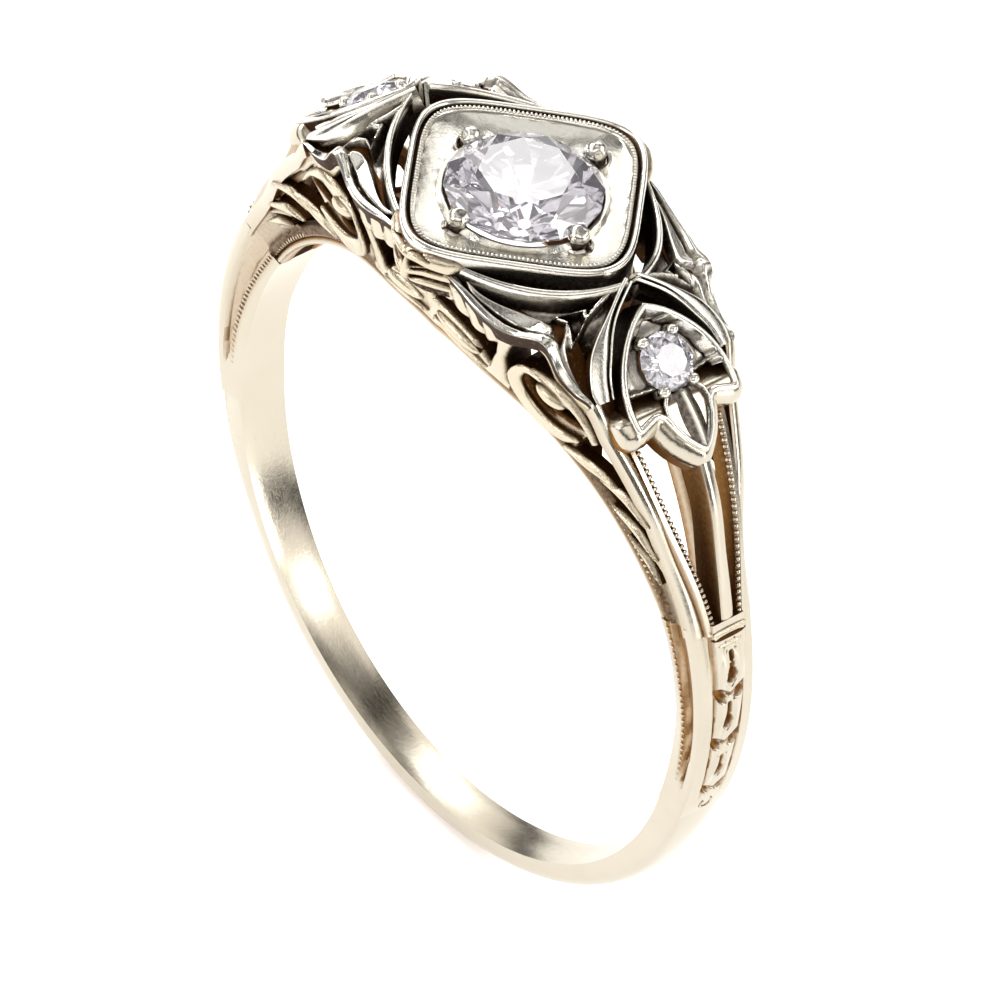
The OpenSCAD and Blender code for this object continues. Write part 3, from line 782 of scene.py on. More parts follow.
def gallery_field(u, v):
    """The pierced plate: its border, foot, posts and the solid end towards the shoulder."""
    x = np.abs(u)
    a = x / PER_DEG
    rise = smooth(a, EDGE_RISE)
    top = v - (rise - 0.22)
    border = np.maximum(top, rise - np.interp(a, *BORDER_DEPTH) - v)
    foot = v - np.interp(a, *FOOT_TOP)
    centre = x - (0.13 + 0.22 * soft_step(v, 1.0, 0.5) + 0.14 * soft_step(v, 1.6, 1.9))
    post = band(x, v, POST, (0.2, 0.13, 0.34))[0]
    end = 46.5 * PER_DEG - x + 0.5 * np.abs(v - 0.8)
    slots = np.minimum.reduce([band(x, v, line, widths)[0] for line, widths in SLOTS_CUT])
    plate = np.maximum(polygon(x, v, SCROLL_PLATE), -slots)
    metal_out = np.minimum.reduce([border, foot, centre, post, end, plate])
    out = np.maximum.reduce([metal_out, top, 0.2 - v, x - 62.3 * PER_DEG])
    height = rounding(-np.maximum.reduce([metal_out, top, 0.2 - v]), 0.10) - 0.02
    folded = (a < 14) & (border < 0.05)
    fold = np.abs(np.sin(a * 1.05 + 1.6 * v))
    height = height + np.where(folded, 0.07 * fold, 0)
    crease = 1 - soft_step(np.abs(fold - 0.08), 0.0, 0.10)
    # Patina and painted shade in the creases of the folded border.
    patina_and_shade = np.where(folded, 0.35 * crease, 0)
    streak = 0.5 + 0.5 * np.sin((v - 0.045 * (a - 46)) * 30)
    chased = soft_step(a, 45, 48) * (1 - soft_step(a, 53, 55))
    height -= 0.07 * streak * chased
    patina_and_shade = np.maximum(patina_and_shade, 0.55 * streak * chased)
    sunk = channel_depth(a, v / rise) * soft_step(a, 52.5, 55.5)
    height -= 0.12 * sunk
    patina_and_shade = np.maximum(patina_and_shade, np.interp(v / rise, [0.3, 0.75], [0.42, 0.25]) * sunk)
    # Painted shade: the wall is darker towards its bottom and round the cut slots.
    low = (1 - soft_step(v, 0.45, 0.75)) * (a > 17)
    patina_and_shade = np.maximum(patina_and_shade, np.maximum(0.8 * low, 1 - soft_step(slots, 0.05, 0.22)))
    return out, height, patina_and_shade


def scroll_field(u, v):
    """The raised layer: C scrolls, leaves, seeds and a rib over the foot."""
    x = np.abs(u)
    out = band(x, v, C_SCROLL, (0.07, 0.13, 0.17, 0.22, 0.25, 0.24, 0.18, 0.06), 40)[0]
    height = 0.15 + rounding(-out, 0.07)
    layers = []
    for line, widths in LEAVES:
        leaf, middle, _ = band(x, v, line, widths)
        layers.append((leaf, 0.08 + rounding(-leaf, 0.08) + 0.07 * (1 - soft_step(middle, 0.0, 0.12))))
    for cx, cy, a, b, turn in SEEDS:
        seed = oval(x, v, cx, cy, a, b, turn)
        layers.append((seed, 0.16 + rounding(-seed, b)))
    rib = band(x, v, on_wall([(1.0, 0.62), (6.0, 0.52), (12.4, 0.5)]), (0.05, 0.12, 0.04))[0]
    layers.append((rib, 0.1 + rounding(-rib, 0.1)))
    for shape, level in layers:
        height = np.where(shape < out, level, height)
        out = np.minimum(out, shape)
    return out, height, np.zeros(np.shape(x))


def wall_depth(u):
    """The wall is deep under the head and thin beside the split shoulders."""
    return 0.8 - 0.5 * soft_step(np.abs(u) / PER_DEG, 30, 36)


def galleries():
    us = (-62.8 * PER_DEG, 62.8 * PER_DEG, 520)
    vs = (0.1, 3.3, 88)
    pieces("gallery", relief(us, vs, gallery_field, wall_place, wall_depth), GALLERY, ENDS, sharp=50)
    pieces("scrolls", relief(us, vs, scroll_field, wall_place, 0.3), GALLERY, ENDS, sharp=50)


# ---- head --------------------------------------------------------------

HEAD_PROFILE = [(0.12, -1.45), (0.05, -0.9), (0.01, -0.4), (0.0, -0.17), (0.01, -0.09), (0.035, -0.03),
                (0.075, 0.0), (0.12, -0.005), (0.155, -0.04), (0.17, -0.10), (0.18, -0.20), (0.22, -0.21),
                (0.235, -0.13), (0.25, -0.08), (0.285, -0.06), (0.32, -0.07), (0.345, -0.11), (0.37, -0.20),
                (0.38, -0.40), (0.38, -1.45)]
# Patina and painted shade at each point of the profile: the box's walls are painted dark as shade, the groove
# under the beads darkest, and below zero on the wire tops, which clears the painted shade.
PROFILE_PATINA_SHADE = [0.9, 0.9, 0.7, 0.2, -0.2, -0.4, -0.4, -0.4, -0.2, 0.3, 1.0, 1.0, 0.6, -0.1, -0.4, -0.4,
                 -0.4, -0.2, 0.1, 0.8]
PLATE_PROFILE = [(0.0, -0.17), (0.06, -0.19), (0.3, -0.25), (0.6, -0.31), (0.86, -0.34), (0.93, -0.27),
                 (1.0, -0.21)]
# Patina and painted shade down the plate: dark at its foot and down the seat round the stone as shade, and
# below zero on the bright-cut slopes, which clears the painted shade.
PLATE_PATINA_SHADE = [0.6, 0.1, -0.4, -0.4, -0.4, 0.0, -0.3, -0.3, 0.3, 0.7, 0.9]


def head_box():
    rings = [level(cushion(HEAD_HALF - i), HEAD_TOP + z) for i, z in HEAD_PROFILE]
    solid = Solid().add(*loft(rings, closed=True), np.repeat(PROFILE_PATINA_SHADE, RIM_POINTS))
    ridge = level(cushion(HEAD_HALF - 0.29), HEAD_TOP - 0.065)
    # The milgrain beads clear the painted shade.
    bead_row(solid, ridge, (0, 0, 1), 0.055, 0.105, (0.8, 1.1, 1.0), -0.3, closed=True)
    piece("head_box_looks", solid, HEAD, "head_box", sharp=45)


def head_plate():
    """Bright-cut plate that falls from the box's beads to a thin lip round the stone's seat."""
    outer = cushion(HEAD_HALF - RIM_W + 0.01)
    angle = np.arctan2(outer[:, 1], outer[:, 0])
    circle = np.column_stack([np.cos(angle), np.sin(angle)])
    rings = [level(outer, HEAD_TOP - 0.85)]
    for k, z in PLATE_PROFILE:
        flat = outer * (1 - k) + circle * (STONE_R + 0.03) * k
        cut = 0.010 * np.sin(angle * 31 + 9 * k) * (0.02 < k < 0.9)
        rings.append(level(flat, HEAD_TOP + z + cut))
    for r, z in ((STONE_R - 0.04, -0.22), (STONE_R - 0.12, -0.32), (STONE_R - 0.16, -0.85)):
        rings.append(level(circle * r, HEAD_TOP + z))
    solid = Solid().add(*loft(rings, closed=True), np.repeat(PLATE_PATINA_SHADE, RIM_POINTS))
    piece("head_plate_looks", solid, HEAD, "head_plate", sharp=30)


def brilliant(radius, table, crown, pavilion, girdle, culet, turn=0.0):
    """Old brilliant cut around the origin: the girdle's upper edge lies at height 0."""
    def corners(r, z, n, offset=0.0):
        turns = turn + 2 * math.pi * (np.arange(n) + offset) / n
        return np.column_stack([r * np.cos(turns), r * np.sin(turns), np.full(n, z)])

    star_r = table + 0.52 * (radius - table)
    half = math.cos(math.pi / 8)
    star_z = crown * (1 - (star_r * half - table) / (radius - table))
    low_r = culet + 0.30 * (radius - culet)
    low_z = -girdle - pavilion * (1 - (low_r * half - culet) / (radius - culet))
    points = np.concatenate([
        corners(table, crown, 8), corners(star_r, star_z, 8, 0.5), corners(radius, 0.0, 16),
        corners(radius, -girdle, 16), corners(low_r, low_z, 8, 0.5), corners(culet, -girdle - pavilion, 8)])
    t, s, g, h, p, c = 0, 8, 16, 32, 48, 56
    faces = [[t + i for i in range(8)], [c + i for i in range(7, -1, -1)]]
    for i in range(8):
        j = (i + 1) % 8
        back = (i - 1) % 8
        faces += [[t + i, s + i, t + j], [t + i, s + back, g + 2 * i, s + i],
                  [s + i, g + 2 * i, g + 2 * i + 1], [s + i, g + 2 * i + 1, g + (2 * i + 2) % 16],
                  [c + i, p + i, h + 2 * i, p + back], [c + i, c + j, p + i],
                  [p + i, h + 2 * i + 1, h + 2 * i], [p + i, h + (2 * i + 2) % 16, h + 2 * i + 1]]
    for i in range(16):
        j = (i + 1) % 16
        faces.append([g + i, h + i, h + j, g + j])
    return points, faces


def centre_diamond():
    points, faces = brilliant(STONE_R - 0.05, STONE_R * 0.58, 0.52, 1.62, 0.05, 0.16, math.radians(9))
    solid = Solid().add(points + np.array([0, 0, HEAD_TOP - 0.08]), faces)
    piece("centre_diamond_looks", solid, DIAMOND, "centre_diamond", sharp=3)


def bead_prong(turn, seed, reach, lift):
    """Raised bead pushed over the stone's edge, with the curls of metal the graver left behind it."""
    rng = np.random.default_rng(seed)
    points, faces = ball((0, 0, 0), 0.27, (-0.3, 0, 1), rows=20, columns=30)
    way = unit(points)
    for p in unit(rng.normal(size=(3, 3)) + (0, 0, 0.6)):
        points = points - way * (0.035 * soft_step(way @ p, 0.86, 0.98))[:, None]
    # The bead clears the painted shade, to stay bright.
    solid = Solid().add(points + np.array([reach, 0, HEAD_TOP + lift]), faces, -0.5)
    for side in (-1, 1):
        k = np.linspace(0, 1, 14)
        curl = np.column_stack([reach + 0.34 * np.cos(side * (0.25 + 1.5 * k)),
                                0.34 * np.sin(side * (0.25 + 1.5 * k)),
                                HEAD_TOP + lift - 0.16 - 0.12 * k])
        solid.add(*sweep(curl, (0, 0, 1), dome_section(7, 0.5), 0.13 * (1 - 0.7 * k) + 0.02, 0.12))
    turns = np.linspace(0, 2 * math.pi, 20, endpoint=False)
    stem = [level(np.column_stack([reach + 0.02 + r * np.cos(turns), r * np.sin(turns)]), HEAD_TOP + z)
            for r, z in ((0.25, -0.7), (0.26, -0.42), (0.22, lift - 0.1))]
    # The stem under the bead is painted dark: shade with patina.
    solid.add(*loft(stem), 0.8)
    c, s = math.cos(turn), math.sin(turn)
    solid.points = [p @ np.array([[c, s, 0], [-s, c, 0], [0, 0, 1]]) for p in solid.points]
    return solid


BEADS = [("right", 0, 2.03, -0.06), ("back", 90, 2.20, -0.04), ("left", 180, 2.0, -0.02),
         ("front", -90, 2.0, -0.10)]
BEAD_SEED = 11


def bead_prongs():
    for i, (place, turn, reach, lift) in enumerate(BEADS):
        solid = bead_prong(math.radians(turn), BEAD_SEED + i, reach, lift)
        piece(f"bead_prong_{place}_looks", solid, HEAD, f"bead_prong_{place}")


# ---- wires and webs beside the head --------------------------------------

APEX = ring(18.6, BORE + 4.25, -0.16)
ARC_START = np.array([1.05, -2.86, HEAD_TOP - 0.32])
ARC_MID = np.array([3.35, -1.95, HEAD_TOP - 0.36])
RIB = [ring(18.7, BORE + 4.21, -0.3), ring(23.7, BORE + 3.6, -1.9), ring(28.6, BORE + 3.2, -1.9)]
WEB_END = 28.5
WEB_LENGTH = 5.2
WEB_WIDTH = [(0, 0.6), (0.1, 1.0), (0.2, 1.45), (0.3, 1.9), (0.4, 2.3), (0.5, 2.6), (0.6, 2.7), (0.7, 1.8),
             (0.8, 1.2), (0.9, 0.75), (1.0, 0.35)]
TURN = 0.6              # where the web's inner edge goes from the arc wire to the rib
WEB_RIDGES = [          # line, half widths, level, rounding
    ([(0.0, 0.95), (0.1, 0.95), (0.2, 0.95), (0.3, 0.955), (0.45, 0.96), (0.6, 0.965), (0.7, 0.955),
      (0.8, 0.94), (0.9, 0.9), (1.0, 0.8)], (0.10,), 0.02, 0.06),
    ([(0.03, 0.14), (0.09, 0.5), (0.18, 0.72), (0.34, 0.70), (0.50, 0.77), (0.575, 0.85)],
     (0.03, 0.08, 0.16, 0.24, 0.26, 0.14), -0.07, 0.10),
    ([(0.56, -0.03), (0.60, 0.26), (0.635, 0.42)], (0.07, 0.10, 0.05), 0.02, 0.05),
    ([(0.52, 0.58), (0.58, 0.47), (0.635, 0.41)], (0.03, 0.06, 0.04), -0.04, 0.05),
    ([(0.635, 0.41), (0.67, 0.50), (0.70, 0.62)], (0.04, 0.06, 0.03), -0.04, 0.05),
    ([(0.52, 0.58), (0.60, 0.66), (0.70, 0.62)], (0.03, 0.05, 0.03), -0.08, 0.05),
    ([(0.62, 0.66), (0.68, 0.78), (0.80, 0.80), (0.93, 0.60)], (0.05, 0.10, 0.09, 0.03), -0.10, 0.05)]


def arc_pt(k):
    return bow(ARC_START, ARC_MID, APEX, np.atleast_1d(k))


def rib_pt(k):
    return bow(*RIB, np.atleast_1d(k))


def arc_wire():
    k = np.linspace(-0.12, 1.0, 34)
    path = arc_pt(k)
    up = unit(np.column_stack([0.25 * path[:, 0], np.full(len(k), -0.10), path[:, 2]]))
    width = 0.15 + 0.06 * np.sin(np.pi * np.clip(k, 0, 1))
    points, faces = sweep(path, up, dome_section(9, 0.28), width, 0.62)
    # The wire's foot is a little darker, painted shade with patina, and its rounded top clears the painted
    # shade to stay bright.
    patina_and_shade = [0.3, 0.1] + [-0.4] * 7 + [0.1, 0.3]
    pieces("arc_wire", Solid().add(points, faces, np.append(np.tile(patina_and_shade, len(k)), [0, 0])), HEAD, QUARTERS)


def crescent_rib():
    k = np.linspace(-0.04, 1.02, 32)
    path = rib_pt(k) + ring(20 + 8 * k, 0.05, 0)
    up = np.broadcast_to(unit(np.array([0.60, -0.36, 0.71])), path.shape)
    width = 0.10 + 0.30 * soft_step(k, 0.15, 0.6) - 0.06 * soft_step(k, 0.9, 1.02)
    # The rib and its thin wire clear the painted shade, to stay bright.
    solid = Solid().add(*sweep(path, up, dome_section(11, 0.10), width, 0.62), -0.7)
    thin = path + unit(np.cross(np.gradient(path, axis=0), up)) * -(width[:, None] * 0.5 + 0.09)
    solid.add(*sweep(thin, up, dome_section(7, 0.3), 0.10, 0.5), -0.3)
    pieces("crescent_rib", solid, HEAD, QUARTERS)


def web_inner(k):
    k = np.asarray(k, float)
    arc = arc_pt(np.clip(k / TURN, 0, 1).reshape(-1))
    rib = rib_pt(np.clip((k - TURN) / (1 - TURN), 0, 1).reshape(-1))
    return np.where((k < TURN).reshape(-1, 1), arc, rib)


def web_place(k, v, lift):
    a = 4 + (WEB_END - 4) * k
    inner = web_inner(k) - ring(a, 0.16, 0.0)
    rim = ring(a, BORE + smooth(a, EDGE_RISE), -smooth(a, EDGE_HALF))
    way = rim - inner
    up = unit(ring(a, 1.0, 0.0) + np.array([0, -0.35, 0]))
    return inner + way * v[:, None] + up * lift[:, None]


def web_line(points):
    return [(k * WEB_LENGTH, v * float(smooth(k, WEB_WIDTH))) for k, v in points]


def web_field(k, v):
    """Fluted plate with its ridges: heights are below the wires on either side."""
    width = smooth(k, WEB_WIDTH)
    x = k * WEB_LENGTH
    y = v * width
    out = np.maximum.reduce([(v - 1.03) * width, (-0.03 - v) * width, -0.05 - x, x - 1.01 * WEB_LENGTH])
    flute = np.sin(np.pi * np.clip(v, 0, 1))
    height = -0.42 * flute ** 0.7 * soft_step(k, 0.0, 0.15) * np.interp(k, [0, 0.9, 1], [1, 1, 0.4])
    # Painted shade with patina down the hollow of each flute.
    patina_and_shade = 0.30 * flute
    shapes = [band(x, y, web_line(line), widths) for line, widths, _, _ in WEB_RIDGES]
    for (shape, _, _), (_, _, above, r) in zip(shapes, WEB_RIDGES):
        rise = above + rounding(-shape, r)
        blend = 1 - soft_step(shape, -0.01, 0.07)
        height = np.maximum(height, height * (1 - blend) + rise * blend)
        # The ridges clear the painted shade, to stay bright.
        patina_and_shade = patina_and_shade * (1 - blend) - 0.35 * blend
    from_edge = shapes[0][1]
    groove = soft_step(from_edge, 0.09, 0.12) * (1 - soft_step(from_edge, 0.16, 0.22))
    patina_and_shade = np.maximum(patina_and_shade, 0.6 * groove * (shapes[1][0] > 0))
    # A deep pocket by the rib, painted dark: shade with patina.
    deep = (1 - soft_step(v, 0.35, 0.75)) * soft_step(k, 0.64, 0.72) * (1 - soft_step(k, 0.95, 1.0))
    height -= 0.25 * deep
    patina_and_shade = np.maximum(patina_and_shade, 0.85 * deep)
    return out, height, patina_and_shade


def top_web():
    solid = relief((-0.02, 1.03, 170), (-0.1, 1.1, 84), web_field, web_place, 0.62)
    pieces("top_web", solid, HEAD, QUARTERS, sharp=50)


def corner_wall(x):
    """How far out the setting's wall stands beside its front corner."""
    y = np.full(np.shape(x), 3.2)
    for _ in range(12):
        u = np.abs(y + x) / (HEAD_HALF * math.sqrt(2))
        w = np.abs(y - x) / (HEAD_HALF * math.sqrt(2))
        y = y * (u**HEAD_POWER + w**HEAD_POWER) ** (-0.5 / HEAD_POWER)
    return y


def corner_place(x, h, lift):
    """Skin that wraps the setting's corner above and meets the gallery below: x runs round the finger."""
    blend = soft_step(h, 2.05, 2.40)
    y = (1 - blend) * 3.08 + blend * (corner_wall(x) + 0.16) + lift
    return ring(np.degrees(x / (BORE + 3.0)), BORE + h, -y)


def corner_field(x, h):
    """Leaf with a slot cut along it that swells into two knobs, above folded leaves."""
    out = np.maximum(np.abs(x) - 1.22, np.maximum(2.02 - h, h - 3.44))
    height = np.full(np.shape(x), -0.26)
    # The sunken ground behind the leaves is painted fully dark, shade with patina; the leaves darken towards
    # their edges, and the slots are dark.
    patina_and_shade = np.full(np.shape(x), 1.0)
    shapes = []
    for s in (-1, 1):
        shapes += [
            ([(s * 0.02, 3.10), (s * 0.45, 3.16), (s * 0.98, 3.15)], (0.16, 0.17, 0.23, 0.23), 0.03, 0.22),
            ([(s * 0.1, 2.62), (s * 0.55, 2.82), (s * 1.2, 2.80)], (0.13, 0.17, 0.13), -0.02, 0.16),
            ([(s * 0.05, 2.25), (s * 0.5, 2.45), (s * 1.12, 2.44)], (0.10, 0.12, 0.10), -0.08, 0.12)]
    shapes.append(([(0, 2.1), (0, 2.5), (0, 2.95)], (0.10, 0.16, 0.06), -0.02, 0.14))
    for line, widths, level, r in shapes:
        shape = band(x, h, line, widths)[0]
        inside = shape < 0
        rise = level + rounding(-shape, r)
        patina_and_shade = np.where(inside & (rise > height), 0.5 * soft_step(-shape, 0.05, 0.0), patina_and_shade)
        height = np.where(inside, np.maximum(height, rise), height)
    for s in (-1, 1):
        for line, widths in (([(s * 0.12, 3.24), (s * 0.4, 3.28), (s * 0.66, 3.24)], (0.01, 0.035, 0.01)),
                             ([(s * 0.2, 2.74), (s * 0.55, 2.91), (s * 0.9, 2.92)], (0.01, 0.02, 0.01))):
            cut = 1 - soft_step(band(x, h, line, widths)[0], -0.01, 0.02)
            height -= 0.12 * cut
            patina_and_shade = np.maximum(patina_and_shade, cut)
    return out, height, patina_and_shade


def corner_leaf():
    solid = relief((-1.26, 1.26, 124), (1.98, 3.48, 76), corner_field, corner_place, 0.42)
    pieces("corner_leaf", solid, GALLERY, ENDS, sharp=50)


# ---- side collets ------------------------------------------------------

COLLET_TILT = math.radians(42)
COLLET_FACE = BORE + 3.25
POINT_U = -4.37
TIP_U = -0.62
STONE_U = -2.88
SIDE_STONE_R = 0.73


def collet_place(u, v, lift):
    """Point on the collet's tilted face: u runs down the shoulder, v along the finger."""
    c, s = math.cos(COLLET_TILT), math.sin(COLLET_TILT)
    n = COLLET_FACE + lift
    return np.stack([u * c + n * s, v * np.ones_like(u), n * c - u * s], -1)


LEAF_HALF = [(POINT_U, 0.0), (-4.13, 0.42), (-3.7, 0.88), (-3.2, 1.24), (-2.66, 1.47), (-2.15, 1.56),
             (-1.75, 1.56)]
LEAF_SIDE = [(u, float(smooth(u, LEAF_HALF))) for u in np.linspace(POINT_U, -1.78, 18)]
LEAF_END = [(-1.66, 1.54), (-1.60, 1.48), (-1.60, 1.38), (-1.68, 1.14), (-1.745, 0.92), (-1.74, 0.82),
            (-1.66, 0.73), (-1.45, 0.64), (-1.22, 0.54), (-1.0, 0.41), (-0.80, 0.25), (-0.65, 0.11),
            (-0.58, 0.03)]
OUTLINE = [(u, -y) for u, y in LEAF_SIDE + LEAF_END] + [(u, y) for u, y in (LEAF_SIDE + LEAF_END)[:0:-1]]
NAVETTE = [(-2.36, 0.20), (-2.26, 0.44), (-2.02, 0.61), (-1.7, 0.67), (-1.35, 0.58), (-1.0, 0.40),
           (-0.75, 0.20), (-0.60, 0.02)]
LEAF_SHAPE = [(u, -y) for u, y in NAVETTE] + [(u, y) for u, y in NAVETTE[::-1]]


def collet_field(u, v):
    """Rim of the collet: a thin top edge, then a bright-cut slope down to the stone's plate."""
    edge = polygon(u, v, OUTLINE)
    depth = -edge
    inner = np.where(u < -2.3, 0.36, 0.16)
    out = np.maximum(edge, depth - inner)
    height = np.interp(depth, [0, 0.02, 0.05, 0.09, 0.13, 0.36], [-0.06, -0.015, 0.0, 0.0, -0.03, -0.30])
    cuts = np.abs(np.sin(u * 7.5 + 0.8 * np.sin(u * 5))) ** 8 * soft_step(depth, 0.13, 0.17) * (u < -2.2)
    height -= 0.045 * cuts
    # Painted shade on the inner drop to the stone's plate and patina with shade in the bright-cut notches;
    # elsewhere below zero, which clears the painted shade.
    patina_and_shade = -0.35 + 0.95 * cuts + 1.05 * soft_step(depth, 0.30, 0.36)
    return out, height, patina_and_shade


def plate_field(u, v):
    """Plate round the side stone, which drops into a pocket before the navette leaf."""
    from_stone = np.hypot(u - STONE_U, v) - SIDE_STONE_R
    out = np.maximum(polygon(u, v, OUTLINE) + 0.12, -0.04 - from_stone)
    bent = u + 0.12 * np.abs(v)
    pocket = soft_step(bent, -2.30, -2.18)
    lip = np.exp(-((bent + 2.36) / 0.07) ** 2) * (np.abs(v) > 0.5)
    height = -0.27 - 0.08 * soft_step(from_stone, 0.0, 0.3) - 0.42 * pocket + 0.14 * lip
    # The pocket before the navette leaf is painted dark, shade with patina, and its lip is kept lighter.
    return out, height, np.clip(0.30 + 0.7 * pocket - 0.3 * lip, 0, 1)


def skirt_field(u, v):
    """Flared, rounded skirt of three lobes under the collet's lower end."""
    edge = polygon(u, v, OUTLINE) - 0.32
    out = np.maximum(edge, -2.5 - 0.25 * np.abs(v) - u)
    height = -0.10 + rounding(-edge, 0.42) - 0.7 * soft_step(-u, 1.9, 2.6)
    # Darker where the skirt drops away under the collet: painted shade with patina.
    return out, height, 0.5 * soft_step(-u, 2.2, 2.6)


def navette_field(u, v):
    """Creased leaf: raised edges, hollow sides and a sharp ridge down the middle."""
    out = polygon(u, v, LEAF_SHAPE)
    depth = -out
    height = 0.05 + np.interp(depth, [0, 0.02, 0.05, 0.08, 0.13, 0.5],
                              [-0.06, -0.01, 0.0, -0.01, -0.15, -0.30])
    side = np.abs(v - 0.03)
    ridge = -0.02 + 0.10 * np.sin(np.clip((u + 2.36) / 1.8, 0, 1) * math.pi) - 0.62 * side
    height = np.where(depth > 0.07, np.maximum(height, ridge), height)
    height -= 0.22 * soft_step(-u, 2.1, 2.36)
    # Patina and painted shade in the leaf's hollow sides.
    patina_and_shade = 0.75 * soft_step(depth, 0.08, 0.13) * soft_step(side, 0.02, 0.12)
    return out, height, patina_and_shade


def side_collets():
    us = (POINT_U - 0.1, TIP_U + 0.1, 150)
    vs = (-1.7, 1.7, 136)
    for name, material, field, u_range, v_range, thick, sharp in (
            ("side_collet", HEAD, collet_field, us, vs, 0.95, 45),
            ("side_plate", HEAD, plate_field, us, vs, 0.85, 45),
            ("tulip", SHANK, skirt_field, (-3.0, TIP_U + 0.44, 110), (-2.0, 2.0, 160), 0.9, 60),
            ("navette_leaf", HEAD, navette_field, (-2.4, TIP_U + 0.12, 100), (-0.75, 0.75, 80), 0.4, 40)):
        solid = relief(u_range, v_range, field, collet_place, thick)
        pieces(name, solid, material, SIDES, sharp)


def side_stones():
    stone, faces = brilliant(SIDE_STONE_R, SIDE_STONE_R * 0.56, 0.22, 0.5, 0.03, 0.05, 0.3)
    spot = collet_place(stone[:, 0] + STONE_U, stone[:, 1], stone[:, 2] - 0.09)
    pieces("side_diamond", Solid().add(spot, faces), DIAMOND, SIDES, sharp=3)
    solid = Solid()
    up = np.array([math.sin(COLLET_TILT), 0, math.cos(COLLET_TILT)])
    for turn, size in ((35, 0.17), (145, 0.16), (215, 0.16), (325, 0.17)):
        u = np.array(STONE_U + 0.76 * math.cos(math.radians(turn)))
        v = np.array(0.76 * math.sin(math.radians(turn)))
        # Each bead clears the painted shade to stay bright, and the foot under it is half dark: painted shade
        # with patina.
        bead = ball(collet_place(u, v, -0.08), size, up, (0, 1, 0), (1, 0.9, 1.1), 10, 16)
        solid.add(*bead, -0.3)
        foot = ball(collet_place(u, v, -0.3), size * 1.15, up, (0, 1, 0), (1, 1, 1.2), 8, 12)
        solid.add(*foot, 0.5)
    pieces("side_beads", solid, HEAD, SIDES)


# ---- stage ---------------------------------------------------------------

CAMERA_AZIMUTH = 45.17
CAMERA_ELEVATION = 43.64
CAMERA_ROLL = 8.15
CAMERA_DISTANCE = 230.0
CAMERA_LENS = 340.8
CAMERA_OFFSET = (0.63, 1.02)


def aim(thing, right, up, back, place):
    """Stands a camera or lamp at place, in millimetres, looking away from back."""
    matrix = np.eye(4)
    matrix[:3] = np.column_stack([right, up, back, place * MM])
    thing.matrix_world = Matrix(matrix.tolist())


def camera():
    az, el, roll = (math.radians(v) for v in (CAMERA_AZIMUTH, CAMERA_ELEVATION, CAMERA_ROLL))
    back = np.array([math.sin(az) * math.cos(el), -math.cos(az) * math.cos(el), math.sin(el)])
    flat = np.array([math.cos(az), math.sin(az), 0])
    rise = np.cross(back, flat)
    right = flat * math.cos(roll) + rise * math.sin(roll)
    up = rise * math.cos(roll) - flat * math.sin(roll)
    data = bpy.data.cameras.new("camera")
    data.lens = CAMERA_LENS
    data.sensor_width = 36
    data.clip_start = 0.01
    data.clip_end = 20
    thing = add_object("camera", data)
    aim(thing, right, up, back, right * CAMERA_OFFSET[0] + up * CAMERA_OFFSET[1] + back * CAMERA_DISTANCE)
    bpy.context.scene.camera = thing


def area_light(name, place, size, power):
    """Soft lamp aimed at the ring; place and size are in millimetres."""
    data = bpy.data.lights.new(name, "AREA")
    data.shape = "RECTANGLE"
    data.size, data.size_y = (s * MM for s in size)
    data.energy = power
    spot = np.array(place, float)
    back = spot / np.linalg.norm(spot)
    side = unit(np.cross((0, 0, 1), back))
    aim(add_object(name, data), side, np.cross(back, side), back, spot)


LIGHTS = [("key", (-230, -20, 180), (90, 110), 0.30), ("table", (-158, 157, 214), (110, 120), 0.07),
          ("stones", (190, 153, 175), (70, 70), 0.04), ("side", (-60, -260, 90), (120, 100), 0.12),
          ("right", (240, 60, 60), (60, 120), 0.10)]
SKY_FLOOR = (1, 1, 1, 1)
SKY_TOP = (0.9, 0.9, 0.9, 1)
SKY_WARMTH = (1.0, 0.97, 0.93)
SKY_LEVELS = [(0.49, 1.0), (0.51, 0.05), (0.60, 0.05), (0.64, 0.85), (0.73, 1.2), (0.88, 1.25), (0.91, 0.30),
              (0.96, 0.25), (0.98, 1.05)]
SKY_PANELS = 4
SKY_TURN = 4.71
FLOOR_HALF = 0.6        # metres


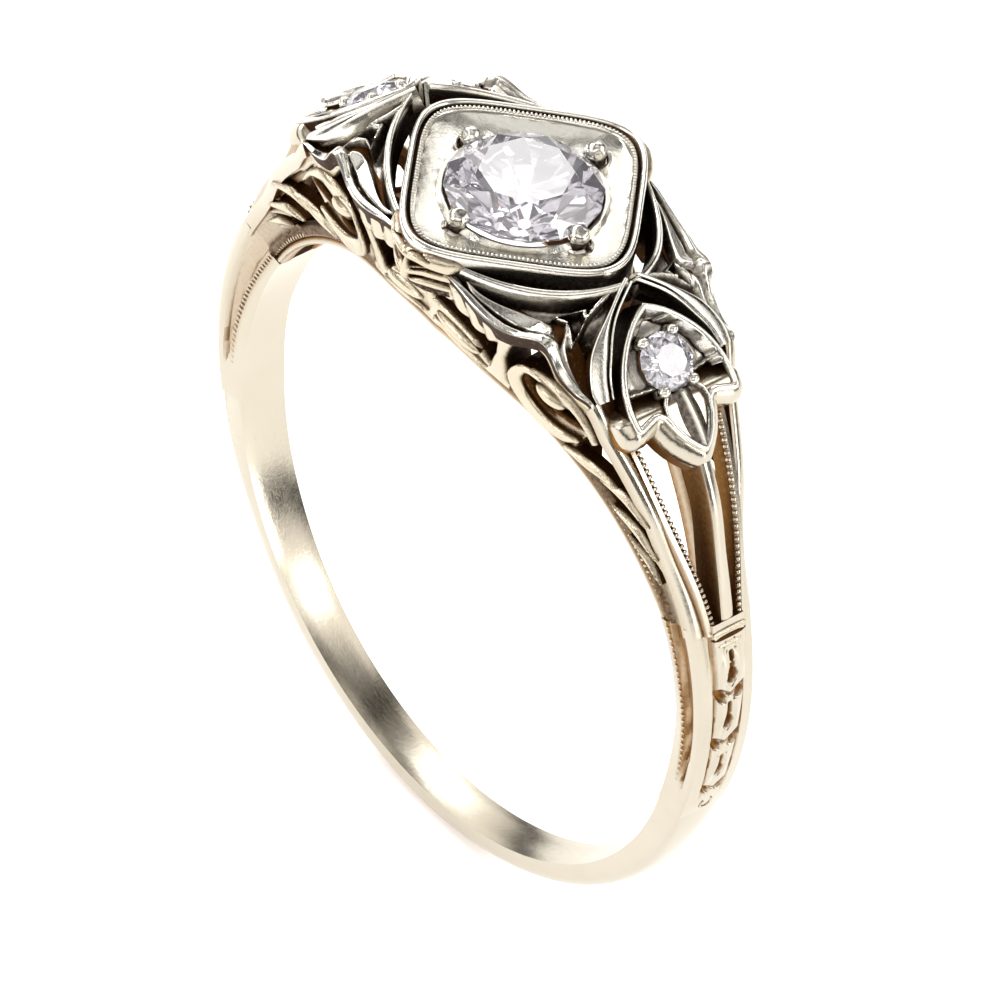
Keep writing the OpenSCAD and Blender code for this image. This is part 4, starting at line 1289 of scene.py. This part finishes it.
def studio():
    """Pale room: light and dark bands from the floor up, broken by dark gaps between panels, and lamps."""
    world = bpy.data.worlds.new("studio")
    bpy.context.scene.world = world
    world.use_nodes = True
    tree = world.node_tree
    tree.nodes.clear()
    way = node(tree, "SeparateXYZ", Vector=node(tree, "TexCoord").outputs["Generated"]).outputs
    ramp = node(tree, "ValToRGB", Fac=spread(tree, way["Z"], (-1.0, 1.0), (0.0, 1.0)))
    levels = ramp.color_ramp.elements
    levels[0].position, levels[0].color = 0.0, SKY_FLOOR
    levels[1].position, levels[1].color = 1.0, SKY_TOP
    for at, bright in SKY_LEVELS:
        levels.new(at).color = (*(bright * c for c in SKY_WARMTH), 1)
    turn = maths(tree, "MULTIPLY_ADD", maths(tree, "ARCTAN2", way["Y"], way["X"]), SKY_PANELS, SKY_TURN)
    panels = spread(tree, maths(tree, "SINE", turn), (-0.92, -0.6), (0.06, 1.0))
    sky = node(tree, "Background", Color=ramp.outputs["Color"], Strength=panels)
    node(tree, "OutputWorld", Surface=sky.outputs[0])
    for light in LIGHTS:
        area_light(*light)


def floor():
    mesh = bpy.data.meshes.new("floor")
    corners = [(x * FLOOR_HALF, y * FLOOR_HALF, FLOOR_Z) for x, y in ((-1, -1), (1, -1), (1, 1), (-1, 1))]
    mesh.from_pydata(corners, [], [(0, 1, 2, 3)])
    mat = bpy.data.materials.new("floor")
    mat.use_nodes = True
    shader = mat.node_tree.nodes["Principled BSDF"]
    shader.inputs["Base Color"].default_value = (0.93, 0.93, 0.92, 1)
    shader.inputs["Roughness"].default_value = 0.6
    shader.inputs["Emission Color"].default_value = (1, 1, 1, 1)
    shader.inputs["Emission Strength"].default_value = 0.35
    mesh.materials.append(mat)
    add_object("floor", mesh)


for make in (shank_lower, shoulder, crossbars, bellflowers, outer_rail, milgrain_rail, centre_bar, finger_rail,
             galleries, head_box, head_plate, centre_diamond, bead_prongs, arc_wire, crescent_rib, top_web,
             corner_leaf, side_collets, side_stones, camera, studio, floor):
    make()
bpy.context.scene.view_settings.view_transform = "Standard"
bpy.context.scene.view_settings.look = "Medium High Contrast"
